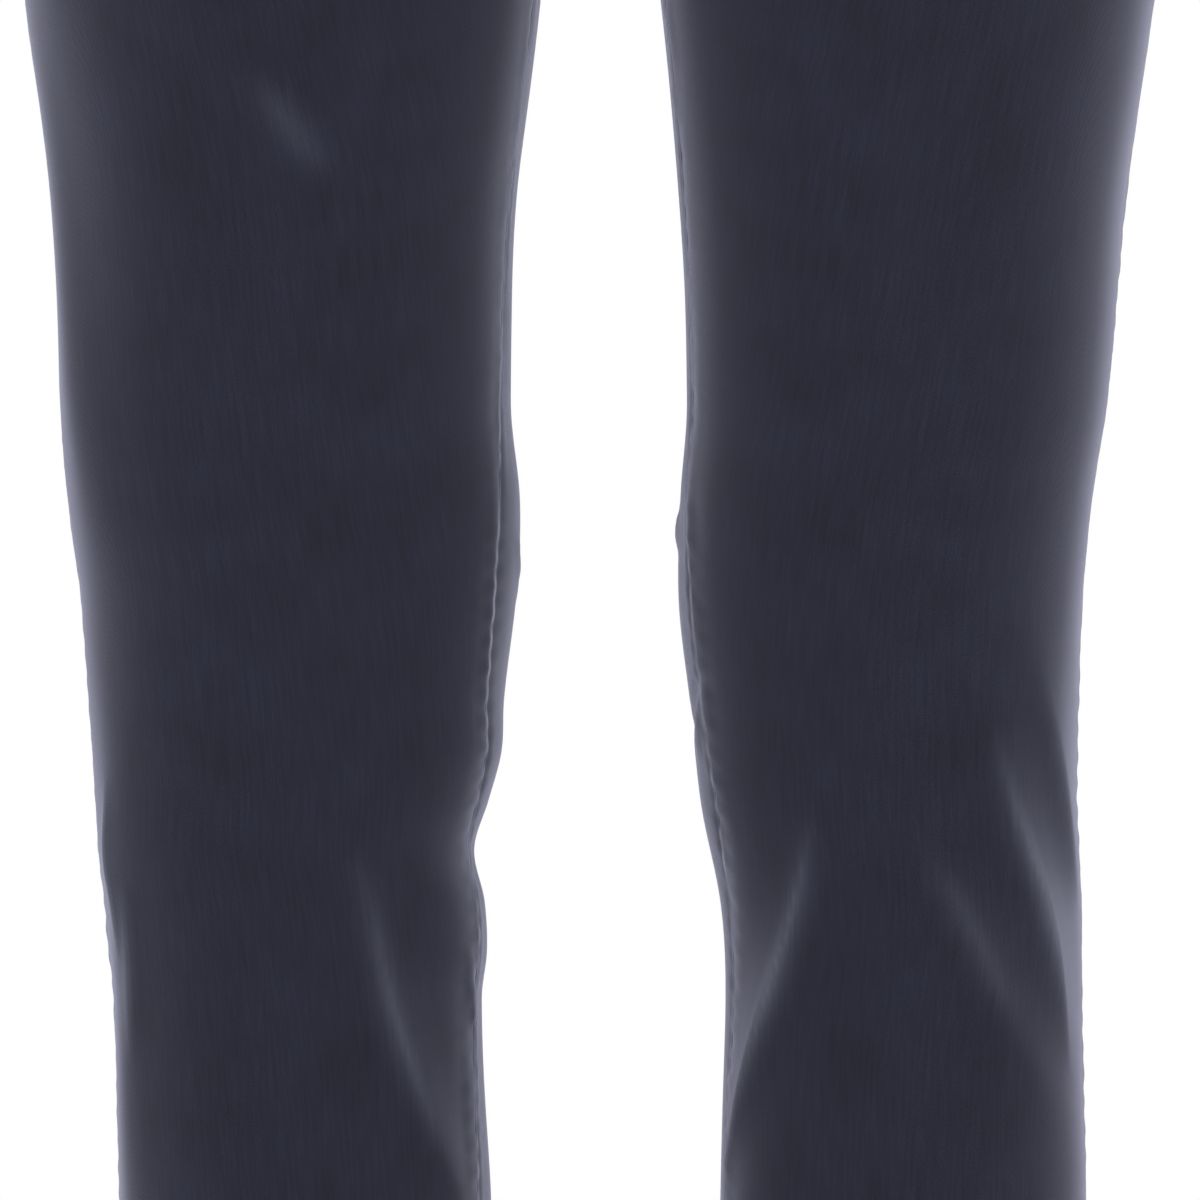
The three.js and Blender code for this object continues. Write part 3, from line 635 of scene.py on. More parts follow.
def clothMaterial(name, pitch=weave["pitch"], bump=0.25, sheen=0.95, shift=1.0):
    made, tree, shader = newMaterial(name)
    link = tree.links.new
    uv = node(tree, "ShaderNodeUVMap", uv_map="clothUv")
    grain = node(tree, "ShaderNodeGroup", node_tree=clothGrain)
    grain.inputs["Pitch"].default_value = pitch
    link(uv.outputs[0], grain.inputs["Vector"])
    tones = [[shift * v for v in navy[key]] for key in ("deep", "light")]
    # the pale colour mixed in here is worn seams and hem, and painted highlights on the crease crests and
    # the inseam turning
    wearAndHighlight = node(tree, "ShaderNodeAttribute", attribute_name="wearAndHighlight")
    mixer = node(tree, "ShaderNodeMix", data_type="RGBA")
    uneven = mathNode(tree, "ADD", grain.outputs["Shade"], wearAndHighlightUneven)
    link(mathNode(tree, "MULTIPLY", wearAndHighlight.outputs["Fac"], uneven), mixer.inputs["Factor"])
    link(rampNode(tree, grain.outputs["Shade"], clothFinish["shades"], tones), mixer.inputs["A"])
    mixer.inputs["B"].default_value = navy["worn"]
    link(mixer.outputs["Result"], shader.inputs["Base Color"])
    giveBump(tree, shader, grain.outputs["Height"], bump)
    shader.inputs["Roughness"].default_value = clothFinish["roughness"]
    giveSheen(shader, sheen)
    return made


def plainMaterial(name, tones, scale, roughness, metallic=0.0, bump=0.1, coat=0.0):
    # a mottled finish on Object coordinates
    made, tree, shader = newMaterial(name)
    place = node(tree, "ShaderNodeTexCoord")
    noise = noiseNode(tree, place.outputs["Object"], scale, mottling["detail"])
    noise.inputs["Distortion"].default_value = mottling["distortion"]
    mottle = noise.outputs["Fac"]
    tree.links.new(rampNode(tree, mottle, mottling["shades"], tones), shader.inputs["Base Color"])
    rough = node(tree, "ShaderNodeMapRange")
    rough.inputs["To Min"].default_value = roughness - mottling["roughnessSwing"]
    rough.inputs["To Max"].default_value = roughness + mottling["roughnessSwing"]
    tree.links.new(mottle, rough.inputs["Value"])
    tree.links.new(rough.outputs[0], shader.inputs["Roughness"])
    giveBump(tree, shader, mottle, bump)
    shader.inputs["Metallic"].default_value = metallic
    shader.inputs["Coat Weight"].default_value = coat
    return made


twill = clothMaterial("navy_twill")
tapeWeave = clothMaterial("zip_tape_weave", pitch=0.0012, bump=0.4, sheen=0.1, shift=0.9)
thread = plainMaterial("navy_thread", [(0.03, 0.032, 0.052), (0.06, 0.063, 0.095)], 900, 0.6, bump=0.4)
giveSheen(thread.node_tree.nodes["Principled BSDF"], 0.95)
horn = plainMaterial("dark_horn", [(0.012, 0.009, 0.007), (0.05, 0.034, 0.022)], 130, 0.32, coat=0.3)
brass = plainMaterial("antique_brass", [(0.11, 0.075, 0.035), (0.24, 0.17, 0.08)], 400, 0.42, metallic=1.0)
print("materials made")


# Fronts and backs
panel = {
    "upperRows": 108,  # from the waist seam to the crotch
    "thigh": 110, "knee": 142, "shin": 62,  # rows down the leg, closest at the knee
    "kneeTop": -560, "kneeBottom": -800,
    "spacing": {"front": 2.1, "back": 3.3},
    "widest": 195,  # sets how many columns there are
    "seamDip": 0.08, "seamDipWidth": 0.7, "sewnRound": 0.22,
    "ridge": 0.14, "ridgeAt": 4.2, "ridgeWidth": 2.2,  # the turnings, pressed to the back
    "ditch": 0.04, "ditchWidth": 0.7,  # on the front, beside them
    "inseamFrom": (5, 15),  # below the crotch, where ridge and ditch begin
    "pucker": 0.25, "puckerReach": 9,
    "uneven": 0.45, "calmEdge": 12, "calmUnderBand": (20, 34),
    "hemDip": 0.3, "hemDipWidth": 1.4, "hemDipBelow": 2,  # along the row of stitches
    "turnUpEase": 2,  # how high the wall takes to thicken at the turn-up
    "hemRows": 10, "hemRowsTo": 2.4, "hemRounding": (1.2, 0.5, 0.15, 0),
    "seamSamples": 500,
}
dart = {"fromCentreSeam": 115.5, "bottom": -77, "width": 0.9, "depth": 0.45, "fade": 25}
# how pale the cloth is painted and how far that reaches: real wear at seams and hem, painted highlights on
# the crease crests and along the inseam turning
wearAndHighlightOf = {"turning": 1.0, "seam": 0.055, "hem": 0.12, "crease": 0.235}
wearAndHighlightReach = {"turning": 0.55, "seam": 1.8, "hem": 1.6, "band": 1.5, "strip": 0.9}
# a highlight painted along the inseam turning: where it lies, how bright it is on average, how much the
# puckers vary it, and its least
turningHighlight = {"at": 0.3, "mean": 0.7, "swing": 0.4, "least": 0.2}
notSewn = 99
fly = {
    "bottom": -160, "fade": 14, "edgePastCentre": 9, "rightFrontStopsAt": 1, "raise": 3.6, "edgeRaise": 1.5,
    "raiseFull": 8, "raiseGone": 45,
}
frontPocket = {
    "fromSideSeam": 50, "depth": 152, "facingStopsAbove": 6, "facingRamp": 20, "insideMouth": 1.5,
}
pocketBottom = level["waistSeam"] - frontPocket["depth"]


def pocketMouth(z):
    return np.maximum(frontPocket["fromSideSeam"] * (z - pocketBottom) / frontPocket["depth"], 0)


def flyShare(z):
    return smoothstep(z, fly["bottom"] - fly["fade"], fly["bottom"])


def flyRaise(z, inward):
    past = lerp(fly["raise"], fly["edgeRaise"], np.clip(-inward / fly["edgePastCentre"], 0, 1))
    within = fly["raise"] * (1 - smoothstep(inward, fly["raiseFull"], fly["raiseGone"]))
    share = smoothstep(z, fly["bottom"] - 3 * fly["fade"], fly["bottom"] - fly["fade"])
    return np.where(inward < 0, past, within) * share


def panelHeights(face):
    # each row's height at the side seam and at the centre seam or inseam: level rows but above the
    # crotch, where they are even along both seams
    toFront = 1 if face == "front" else -1
    t = np.linspace(1, 0, panel["seamSamples"])
    z = level["crotch"] + (level["waistSeam"] - halfGap - level["crotch"]) * t * t
    y = centreSeamY(np.maximum(z, level["crotch"] + 1e-4), toFront)
    along = np.concatenate([[0], np.cumsum(np.hypot(np.diff(z), np.diff(y)))])
    even = np.linspace(0, along[-1], panel["upperRows"] + 1)
    seam = np.interp(even, along, z)
    side = np.linspace(level["waistSeam"] - halfGap, level["crotch"], panel["upperRows"] + 1)
    ease, hem = panel["turnUpEase"], level["hem"]
    steps = np.concatenate([
        np.linspace(level["crotch"], panel["kneeTop"], panel["thigh"])[1:],
        np.linspace(panel["kneeTop"], panel["kneeBottom"], panel["knee"])[1:],
        np.linspace(panel["kneeBottom"], turnUp + ease, panel["shin"])[1:],
        [turnUp + ease / 2, turnUp],
        np.linspace(turnUp - ease, hem + panel["hemRowsTo"], panel["hemRows"]),
        [hem + high for high in panel["hemRounding"]],
    ])
    return np.concatenate([side, steps]), np.concatenate([seam, steps])


def waves(seed, count, shortest, longest):
    # a fixed set of smooth waves, for unevenness that never repeats
    rng = np.random.default_rng(seed)
    return [(rng.uniform(-1, 1, 3), rng.uniform(shortest, longest), rng.uniform(0, 6.28))
            for _ in range(count)]


def wavesAt(setOfWaves, points):
    total = 0
    for direction, length, phase in setOfWaves:
        way = direction / np.linalg.norm(direction)
        total = total + np.sin(points @ way * 2 * math.pi / length + phase)
    return total / math.sqrt(len(setOfWaves))


slowWaves = waves(3, 9, 70, 190)
puckerWaves = waves(5, 6, 8, 19)


def relief(leg, face, base, z, fromSide, toSeam):
    # low form on top of the folds: seams sink and pucker, turnings stand up, the fly stands proud
    isFront = face == "front"
    start = np.maximum(halfGap, pocketMouth(z)) if isFront else halfGap
    share = flyShare(z) if isFront else np.zeros_like(z)
    fromStart = fromSide - start
    fromEnd = toSeam - halfGap + share * (fly["edgePastCentre"] if leg > 0 else -fly["rightFrontStopsAt"])
    sewnStart = np.where(isFront & (z > pocketBottom), 0, 1)
    sewnEnd = 1 - share
    dip = sewnStart * bell(fromStart, panel["seamDipWidth"]) + sewnEnd * bell(fromEnd, panel["seamDipWidth"])
    drawn = sewnStart * bell(fromStart, panel["puckerReach"]) + sewnEnd * bell(fromEnd, panel["puckerReach"])
    lift = panel["pucker"] * wavesAt(puckerWaves, base) * drawn - panel["seamDip"] * dip
    clear = smoothstep(fromStart, 0, panel["calmEdge"]) * smoothstep(fromEnd, 0, panel["calmEdge"])
    clear = clear * smoothstep(-z, *panel["calmUnderBand"])
    lift = lift + panel["uneven"] * wavesAt(slowWaves, base) * clear
    below = smoothstep(-z, *(low - level["crotch"] for low in panel["inseamFrom"]))
    if isFront:
        lift = lift - panel["ditch"] * bell(fromEnd, panel["ditchWidth"]) * below
        if leg > 0:
            lift = lift + flyRaise(z, toSeam)
    else:
        ridge = panel["ridge"] * bell(fromEnd - panel["ridgeAt"], panel["ridgeWidth"])
        lift = lift + ridge * (1 if leg > 0 else below)
        # at the inseam the back's edge doesn't sink
        lift = lift + panel["seamDip"] * bell(fromEnd, panel["seamDipWidth"]) * below
        sunk = dart["depth"] * bell(toSeam - dart["fromCentreSeam"], dart["width"])
        lift = lift - sunk * smoothstep(z, dart["bottom"], dart["bottom"] + dart["fade"])
    return lift - panel["hemDip"] * bell(z - turnUp + panel["hemDipBelow"], panel["hemDipWidth"])


def buildPanel(leg, face, name):
    sideZ, seamZ = panelHeights(face)
    sideRows, seamRows = levelRows(leg, face, sideZ), levelRows(leg, face, seamZ)
    length = seamRows[1][:, -1]
    isFront = face == "front"
    start = np.maximum(halfGap, pocketMouth(sideZ)) if isFront else np.full_like(sideZ, halfGap)
    share = flyShare(seamZ) if isFront else 0 * seamZ
    end = length - halfGap + share * (fly["edgePastCentre"] if leg > 0 else -fly["rightFrontStopsAt"])
    middleCount = int(panel["widest"] / panel["spacing"][face])
    # angles: near the edges by distance, between them evenly
    lowAngles = np.stack([angleAt(sideRows, start + e) for e in edgeSteps], 1)
    highAngles = np.stack([angleAt(seamRows, end - e) for e in edgeSteps[::-1]], 1)
    t = np.linspace(0, 1, middleCount)[1:-1]
    middle = lowAngles[:, -1:] + (highAngles[:, :1] - lowAngles[:, -1:]) * t
    angle = np.concatenate([lowAngles, middle, highAngles], 1)
    across = (angle - angle[:, :1]) / (angle[:, -1:] - angle[:, :1])
    z = lerp(sideZ[:, None], seamZ[:, None], smoothstep(across, 0, 1))
    base = placed(leg, face, z, angle, np.zeros_like(z), details)
    fromStart = arcLengths(base, 1)
    fromEnd = fromStart[:, -1:] - fromStart
    fromSide = fromStart + start[:, None]
    toSeam = fromEnd - (end - length)[:, None]
    lift = relief(leg, face, base, z, fromSide, toSeam)
    fromHem = z - level["hem"]
    startRound = np.where(isFront & (sideZ > pocketBottom), cloth["edgeRound"], panel["sewnRound"])[:, None]
    endRound = np.where(share > 0.5, cloth["edgeRound"], panel["sewnRound"])[:, None]
    drawn = np.maximum(roundedOff(fromStart, startRound), roundedOff(fromEnd, endRound))
    drawn = np.maximum(drawn, roundedOff(fromHem))
    thick = lerp(cloth["hemWall"], cloth["wall"], smoothstep(z, turnUp, turnUp + panel["turnUpEase"]))
    outer = placed(leg, face, z, angle, lift - drawn, details)
    inner = placed(leg, face, z, angle, lift - thick + drawn, details)
    free = (flyShare(z) > 0) & (isFront and leg > 0)
    for grid in (outer, inner):
        grid[..., 0] = np.where(free, grid[..., 0], leg * np.maximum(leg * grid[..., 0], halfGap))
    uv = np.stack([fromSide, arcLengths(base, 0)], -1)
    wearAndHighlight = wearAndHighlightOf["seam"] * bell(fromSide, wearAndHighlightReach["seam"])
    wearAndHighlight = wearAndHighlight + wearAndHighlightOf["hem"] * bell(fromHem, wearAndHighlightReach["hem"])
    # a highlight painted along the crests of the sharpest creases
    wearAndHighlight = wearAndHighlight + wearAndHighlightOf["crease"] * creaseCrests(leg, z, angle)
    if not isFront:
        # a highlight painted along the turning beside the seam, patchy on its puckers
        sewn = np.where((1 - share)[:, None] > 0.5, fromEnd, notSewn)
        patchy = turningHighlight["mean"] + turningHighlight["swing"] * wavesAt(puckerWaves, base)
        pale = wearAndHighlightOf["turning"] * np.clip(patchy, turningHighlight["least"], 1)
        wearAndHighlight = wearAndHighlight + pale * bell(sewn - turningHighlight["at"], wearAndHighlightReach["turning"])
    made = wallMesh(name, leaned(outer), leaned(inner), uv, {"wearAndHighlight": np.clip(wearAndHighlight, 0, 1)})
    keep(made, twill, "cloth", name)
    measureCut(name, base)
    print(name, len(made.data.polygons) * 2, "triangles")


for leg, side in sides:
    for face in ("front", "back"):
        buildPanel(leg, face, f"{face}_{side}")
print("fronts and backs made")

# Waistband: each half is one folded strip, from the centre back round to the front
band = {
    "wall": 2.4, "proud": 0.6, "belly": 0.35, "round": 0.9, "spacing": 3.2, "pucker": 0.16, "puckerReach": 5,
}
underlap = {"length": 34, "raise": 2.7, "raiseFull": 37, "raiseGone": 82}


def bandLength(leg, z):
    z = np.atleast_1d(np.array(z, float))
    return rowLength(leg, "back", z) + rowLength(leg, "front", z)


def bandLift(leg, z, toCentreFront):
    rise = underlap["raise"] * (1 - smoothstep(toCentreFront, underlap["raiseFull"], underlap["raiseGone"]))
    up = (z - level["waistSeam"]) / (level["bandTop"] - level["waistSeam"])
    middle = np.sin(math.pi * np.clip(up, 0, 1))
    return band["proud"] + band["belly"] * middle + (rise if leg > 0 else 0)


def buildBand(leg, name):
    z = -stopsBetween(-level["bandTop"], -level["waistSeam"] - halfGap, band["spacing"])
    length = bandLength(leg, z)
    past = fly["edgePastCentre"] if leg > 0 else underlap["length"]
    stops = stopsBetween(0, length.mean() + past, band["spacing"])
    distance = halfGap + (length[:, None] + past - halfGap) * (stops / stops[-1])
    z = np.broadcast_to(z[:, None], distance.shape)
    base = onBand(leg)(z, distance, np.zeros_like(distance))
    fromStart, fromTop = arcLengths(base, 1), arcLengths(base, 0)
    edge = toNearestEdge(fromStart, fromTop)
    drawn = roundedOff(edge, band["round"])
    lift = bandLift(leg, z, length[:, None] - distance)
    lift = lift + band["pucker"] * wavesAt(puckerWaves, base) * np.exp(-edge / band["puckerReach"])
    outer = onBand(leg)(z, distance, lift - drawn)
    inner = onBand(leg)(z, distance, lift - band["wall"] + drawn)
    if leg > 0:
        outer[:, 0, 0], inner[:, 0, 0] = halfGap, halfGap
    wearAndHighlight = wearAndHighlightOf["hem"] * bell(fromTop, wearAndHighlightReach["band"])
    wearAndHighlight = wearAndHighlight + wearAndHighlightOf["seam"] * bell(fromTop[-1:] - fromTop, wearAndHighlightReach["band"])
    made = wallMesh(name, outer, inner, np.stack([fromTop, distance], -1), {"wearAndHighlight": np.clip(wearAndHighlight, 0, 1)})
    keep(made, twill, "cloth", name)
    measureCut(name, base)
    print(name, len(made.data.polygons) * 2, "triangles")


for leg, side in sides:
    buildBand(leg, f"waistband_{side}")
print("waistband made")

# Front pockets: the facing shows between the side seam and the mouth, and slips under the front
facing = {"overlap": 18, "spacing": 3, "sunk": 1.5}


def buildFacing(leg, name):
    low = pocketBottom + frontPocket["facingStopsAbove"]
    z = -stopsBetween(-level["waistSeam"] + halfGap, -low, facing["spacing"])
    mouth = pocketMouth(z)[:, None]
    stops = stopsBetween(0, frontPocket["fromSideSeam"] + facing["overlap"], facing["spacing"])
    distance = halfGap + (mouth + facing["overlap"] - halfGap) * (stops / stops[-1])
    z = np.broadcast_to(z[:, None], distance.shape)
    rows = levelRows(leg, "front", z[:, 0])
    angle = np.stack([angleAt(rows, distance[:, k]) for k in range(distance.shape[1])], 1)
    base = placed(leg, "front", z, angle, np.zeros_like(z), details)
    under = mouth - frontPocket["insideMouth"]
    lift = -facing["sunk"] * smoothstep(distance, under - frontPocket["facingRamp"], under)
    clear = smoothstep(distance - mouth, 0, panel["calmEdge"]) * smoothstep(-z, *panel["calmUnderBand"])
    lift = lift + panel["uneven"] * wavesAt(slowWaves, base) * clear
    lift = lift - panel["seamDip"] * bell(distance, panel["seamDipWidth"])
    drawn = roundedOff(arcLengths(base, 1))
    outer = placed(leg, "front", z, angle, lift - drawn, details)
    inner = placed(leg, "front", z, angle, lift - cloth["wall"] + drawn, details)
    uv = np.stack([distance, arcLengths(base, 0)], -1)
    made = wallMesh(name, leaned(outer), leaned(inner), uv, {"wearAndHighlight": np.zeros_like(z)})
    measureCut(name, base)
    keep(made, twill, "cloth", name)


for leg, side in sides:
    buildFacing(leg, f"pocket_facing_{side}")

# Back pockets: two welts side by side
backPocket = {
    "fromCentreSeam": 48, "width": 135, "z": -85, "lip": 7, "slot": 0.4, "buttonBelow": 20, "lift": 0.3,
}
welt = {"rollIn": 0.35, "spacing": 2.5, "stops": (0, 0.03, 0.09, 0.2, 0.4, 0.6, 0.8, 0.91, 0.97, 1)}


def stripOn(name, spot, z, distance, top, wall, material=twill, slot="cloth", replaced=None):
    # a narrow strip of cloth laid on something, with rounded edges; top is the lift of its outer face
    base = spot(z, distance, np.zeros_like(z))
    across, down = arcLengths(base, 1), arcLengths(base, 0)
    edge = toNearestEdge(across, down)
    drawn = roundedOff(edge, min(cloth["edgeRound"], wall / 2))
    outer, inner = spot(z, distance, top - drawn), spot(z, distance, top - wall + drawn)
    wearAndHighlight = wearAndHighlightOf["seam"] * bell(edge, wearAndHighlightReach["strip"])
    made = wallMesh(name, outer, inner, np.stack([across, down], -1), {"wearAndHighlight": wearAndHighlight})
    measureCut(name, base)
    keep(made, material, slot, *((name,) if replaced is None else replaced))


def buildWelt(leg, side, which, word):
    spot = onPanel(leg, "back")
    edge = backPocket["z"] + which * backPocket["slot"] / 2
    z = edge + which * backPocket["lip"] * np.array(welt["stops"])
    end = rowLength(leg, "back", backPocket["z"])[0] - backPocket["fromCentreSeam"]
    distance = stopsBetween(end - backPocket["width"], end, welt["spacing"])
    z, distance = np.meshgrid(z, distance, indexing="ij")
    share = (z - edge) / (which * backPocket["lip"])
    # the folded lips roll in to the slot
    top = backPocket["lift"] + cloth["wall"] - welt["rollIn"] * (1 - share) ** 2
    stripOn(f"back_welt_{word}_{side}", spot, z, distance, top, cloth["wall"])


for leg, side in sides:
    for which, word in ((1, "upper"), (-1, "lower")):
        buildWelt(leg, side, which, word)
print("pockets made")

# Belt loops: tacked at both ends, standing off the band between
beltLoop = {
    "width": 11, "wall": 1.2, "fromCentreBack": [0, 115, 228, 336], "foot": (-31, -30.9, -30.6, -30),
    "between": (-29, 18.2, 44), "head": (18.8, 19.2, 19.4),
    "across": (-1, -0.98, -0.94, -0.86, -0.6, -0.3, 0, 0.3, 0.6, 0.86, 0.94, 0.98, 1),
}
# height and lift, as the solid: tacked under the waist seam and on the band's top edge
loopProfile = [
    (-31, 0.3), (-26, 0.3), (-21.5, 0.9), (-16, 3.2), (-6, 3.7), (4, 3.7), (12, 3.2), (16.5, 0.9),
    (19.4, 0.9),
]


def loopTop(z):
    # how far a loop's outer face lies off the smooth form
    heights, lifts = np.array(loopProfile).T
    return throughRows(np.stack([-heights, lifts], 1), 1, -z) + beltLoop["wall"]


def buildLoop(leg, name, fromCentreBack):
    z = np.concatenate([beltLoop["foot"], np.linspace(*beltLoop["between"]), beltLoop["head"]])
    lift = loopTop(z)
    across = beltLoop["width"] / 2 * np.array(beltLoop["across"])
    z, distance = np.meshgrid(z, fromCentreBack + across, indexing="ij")
    stripOn(name, onBand(leg), z, distance, lift[:, None] + 0 * z, beltLoop["wall"])


buildLoop(1, "belt_loop_centre_back", beltLoop["fromCentreBack"][0])
for leg, side in sides:
    for k, distance in enumerate(beltLoop["fromCentreBack"]):
        if k:
            buildLoop(leg, f"belt_loop_{side}_{k}", distance)
print("belt loops made")

# Behind the fly: the shield, the zip's two tapes, its teeth and its slider
shield = {"belowSeam": 0.3, "width": 32, "underRight": 20, "bottom": -178, "top": -3.2, "spacing": 3}
zipper = {
    "top": -24, "bottom": -150,
    "tapeFrom": -14, "tapeTo": 18, "tapeTop": -1.8, "tapeWall": 0.7, "tapeRows": 60,
    "tapeEdge": (0.2, 1, 3),  # columns beside each edge of a tape
    "chainCentre": 2, "halfSlot": 0.35,  # between the two tapes
    "pitch": 1.5, "toothWidth": 3.2, "toothDepth": 1.5, "toothTop": 0.1, "toothHigh": 0.55, "overlap": 0.9,
    "shank": 0.62, "head": 0.38, "headSize": (1, 1.5, 0.9), "toothBevel": 0.12,
}


def behindFly(z, x, lift):
    # across the centre front: x is the distance from it, plus on the wearer's left
    z, x, lift = asArrays(z, x, lift)
    length = anglesFor(-1, "front", z.ravel(), np.zeros(z.size))[1].reshape(z.shape)
    angle = anglesFor(-1, "front", z.ravel(), (length + x).ravel())[0].reshape(z.shape)
    return leaned(placed(-1, "front", z, angle, lift, details))


def buildShield():
    z = -stopsBetween(-level["waistSeam"] + shield["belowSeam"], -shield["bottom"], shield["spacing"])
    x = stopsBetween(-shield["underRight"], shield["width"], shield["spacing"])
    z, x = np.meshgrid(z, x, indexing="ij")
    stripOn("fly_shield", behindFly, z, x, shield["top"] + 0 * z, cloth["wall"])


def buildTape(name, low, high, replaced):
    z = np.linspace(zipper["top"], zipper["bottom"], zipper["tapeRows"])
    thin, narrow, wide = zipper["tapeEdge"]
    middle = np.linspace(low + wide, high - wide, 5)
    x = np.array([low, low + thin, low + narrow, *middle, high - narrow, high - thin, high])
    z, x = np.meshgrid(z, x, indexing="ij")
    top = zipper["tapeTop"] + 0 * z
    stripOn(name, behindFly, z, x, top, zipper["tapeWall"], tapeWeave, "zip", replaced)


def selectFaces(piece, test):
    bpy.ops.object.mode_set(mode="EDIT")
    bpy.ops.mesh.select_mode(type="FACE")
    bpy.ops.mesh.select_all(action="DESELECT")
    shape = bmesh.from_edit_mesh(piece.data)
    for face in shape.faces:
        face.select_set(test(face))
    bmesh.update_edit_mesh(piece.data)


def resizeFaces(piece, test, size):
    selectFaces(piece, test)
    bpy.ops.transform.resize(value=size)


def extrudeBy(x, y, z):
    bpy.ops.mesh.extrude_region_move(TRANSFORM_OT_translate={"value": (x, y, z)})


def newBlock(name, width, height, thick):
    # a block at the origin, sized in millimetres
    deselectAll()
    bpy.ops.mesh.primitive_cube_add(size=1, scale=(width * mm, height * mm, thick * mm))
    made = bpy.context.object
    made.name = name
    bpy.ops.object.transform_apply(scale=True)
    return made


def shapeOf(piece):
    # corners in millimetres and triangles of a modelled piece, which is then taken away
    bpy.ops.object.mode_set(mode="EDIT")
    bpy.ops.mesh.select_all(action="SELECT")
    bpy.ops.mesh.normals_make_consistent(inside=False)
    bpy.ops.mesh.quads_convert_to_tris()
    bpy.ops.object.mode_set(mode="OBJECT")
    bpy.ops.object.transform_apply(location=True, rotation=True, scale=True)
    corners = np.array([v.co for v in piece.data.vertices]) / mm
    faces = np.array([f.vertices for f in piece.data.polygons])
    bpy.data.objects.remove(piece)
    return corners, faces


def baseStitch():
    # one stitch along X: a short round of thread whose ends dive into the cloth
    deselectAll()
    straight = (stitch["length"] - 2 * stitch["dive"]) * mm
    bpy.ops.mesh.primitive_cylinder_add(vertices=6, radius=stitch["thick"] / 2 * mm, depth=straight,
                                        rotation=(0, math.pi / 2, 0))
    made = bpy.context.object
    bpy.ops.object.transform_apply(rotation=True)
    for end in (-1, 1):
        selectFaces(made, lambda face: face.normal.x * end > 0.9)
        extrudeBy(end * stitch["dive"] * mm, 0, -stitch["taper"] * stitch["thick"] * mm)
        bpy.ops.transform.resize(value=(1, stitch["taper"], stitch["taper"]))
        bpy.ops.object.mode_set(mode="OBJECT")
    return shapeOf(made)


def baseTooth():
    # one zip tooth: a bar along X with a rounded, raised head at the plus end
    width = zipper["toothWidth"]
    made = newBlock("tooth", width * zipper["shank"], zipper["toothHigh"], zipper["toothDepth"])
    selectFaces(made, lambda face: face.normal.x > 0.9)
    extrudeBy(width * zipper["head"] * mm, 0, 0)
    bpy.ops.transform.resize(value=zipper["headSize"])
    bpy.ops.mesh.select_all(action="SELECT")
    bpy.ops.mesh.bevel(offset=zipper["toothBevel"] * mm, segments=1)
    bpy.ops.object.mode_set(mode="OBJECT")
    return shapeOf(made)


glance = 0.6  # how far before and after a stitch's middle its direction is taken


def unit(v):
    return v / np.linalg.norm(v, axis=-1, keepdims=True)


def framesOn(spot, z, distance, lift=0.0, pitch=None):
    # evenly spaced middles along a line on the cloth, with the directions along it and out of it
    points = spot(z, distance, lift)
    outs = spot(z, distance, np.asarray(lift) + 1.0) - points
    at = np.concatenate([[0], np.cumsum(np.linalg.norm(np.diff(points, axis=0), axis=1))])
    count = max(int(round(at[-1] / (pitch or stitch["pitch"]))), 1)
    middle = (np.arange(count) + 0.5) * at[-1] / count

    def onLine(values, where):
        return np.stack([np.interp(where, at, values[:, k]) for k in range(3)], -1)

    along = unit(onLine(points, middle + glance) - onLine(points, middle - glance))
    out = onLine(outs, middle)
    out = unit(out - (out * along).sum(-1, keepdims=True) * along)
    return onLine(points, middle), along, out


def joinCopies(name, shape, frames, material, slot, *replaced):
    # one mesh of many copies of a small shape; its X runs along, its Z out
    corners, faces = shape
    middle, along, out = (np.concatenate(part) for part in zip(*frames))
    across = np.cross(out, along)
    points = middle[:, None] + corners[:, :1] * along[:, None] + corners[:, 1:2] * across[:, None]
    points = points + corners[:, 2:] * out[:, None]
    index = faces[None] + len(corners) * np.arange(len(middle))[:, None, None]
    made = newMesh(name, points.reshape(-1, 3), index.reshape(-1, 3))
    keep(made, material, slot, *replaced)
    print(name, len(middle), "copies,", len(made.data.polygons), "triangles")


def sewLines(name, lines):
    joinCopies(name, sewn, lines, thread, "cloth")


stitch = {"length": 2.5, "pitch": 3.3, "thick": 0.4, "dive": 0.55, "taper": 0.45, "sunk": -0.03}
sewn = baseStitch()
buildShield()
slotAt = zipper["chainCentre"]
buildTape("zip_tape_right", zipper["tapeFrom"], slotAt - zipper["halfSlot"], ("zip",))
buildTape("zip_tape_left", slotAt + zipper["halfSlot"], zipper["tapeTo"], ())


def zipTeeth():
    frames = []
    reach = zipper["toothWidth"] - zipper["overlap"]
    lift = zipper["toothTop"] - zipper["toothDepth"] / 2
    for side in (-1, 1):
        z = np.arange(zipper["top"], zipper["bottom"], -0.5) - (side + 1) * zipper["pitch"] / 4
        x = np.full_like(z, slotAt + side * reach / 2)
        middle, down, out = framesOn(behindFly, z, x, lift, zipper["pitch"])
        frames.append((middle, side * unit(np.cross(out, down)), out))
    joinCopies("zip_teeth", baseTooth(), frames, brass, "zip")


zipTeeth()
print("fly and zip made")

# The zip's slider: a body with a bridge, and a pull that hangs below it
slider = {
    "width": 7.4, "height": 9, "thick": 1.2, "lift": 0.4, "below": 5, "tail": (0.72, 1, 1),
    "bridgeInset": 1.5, "bridgeRise": 0.45, "bridge": (0.7, 0.9, 1), "bevel": 0.22,
}
pullTab = {
    "width": 4.6, "length": 20, "thick": 0.9, "lift": 0.6, "top": (0.62, 1, 1), "inset": 0.8, "sunk": 0.3,
    "bevel": 0.2,
}


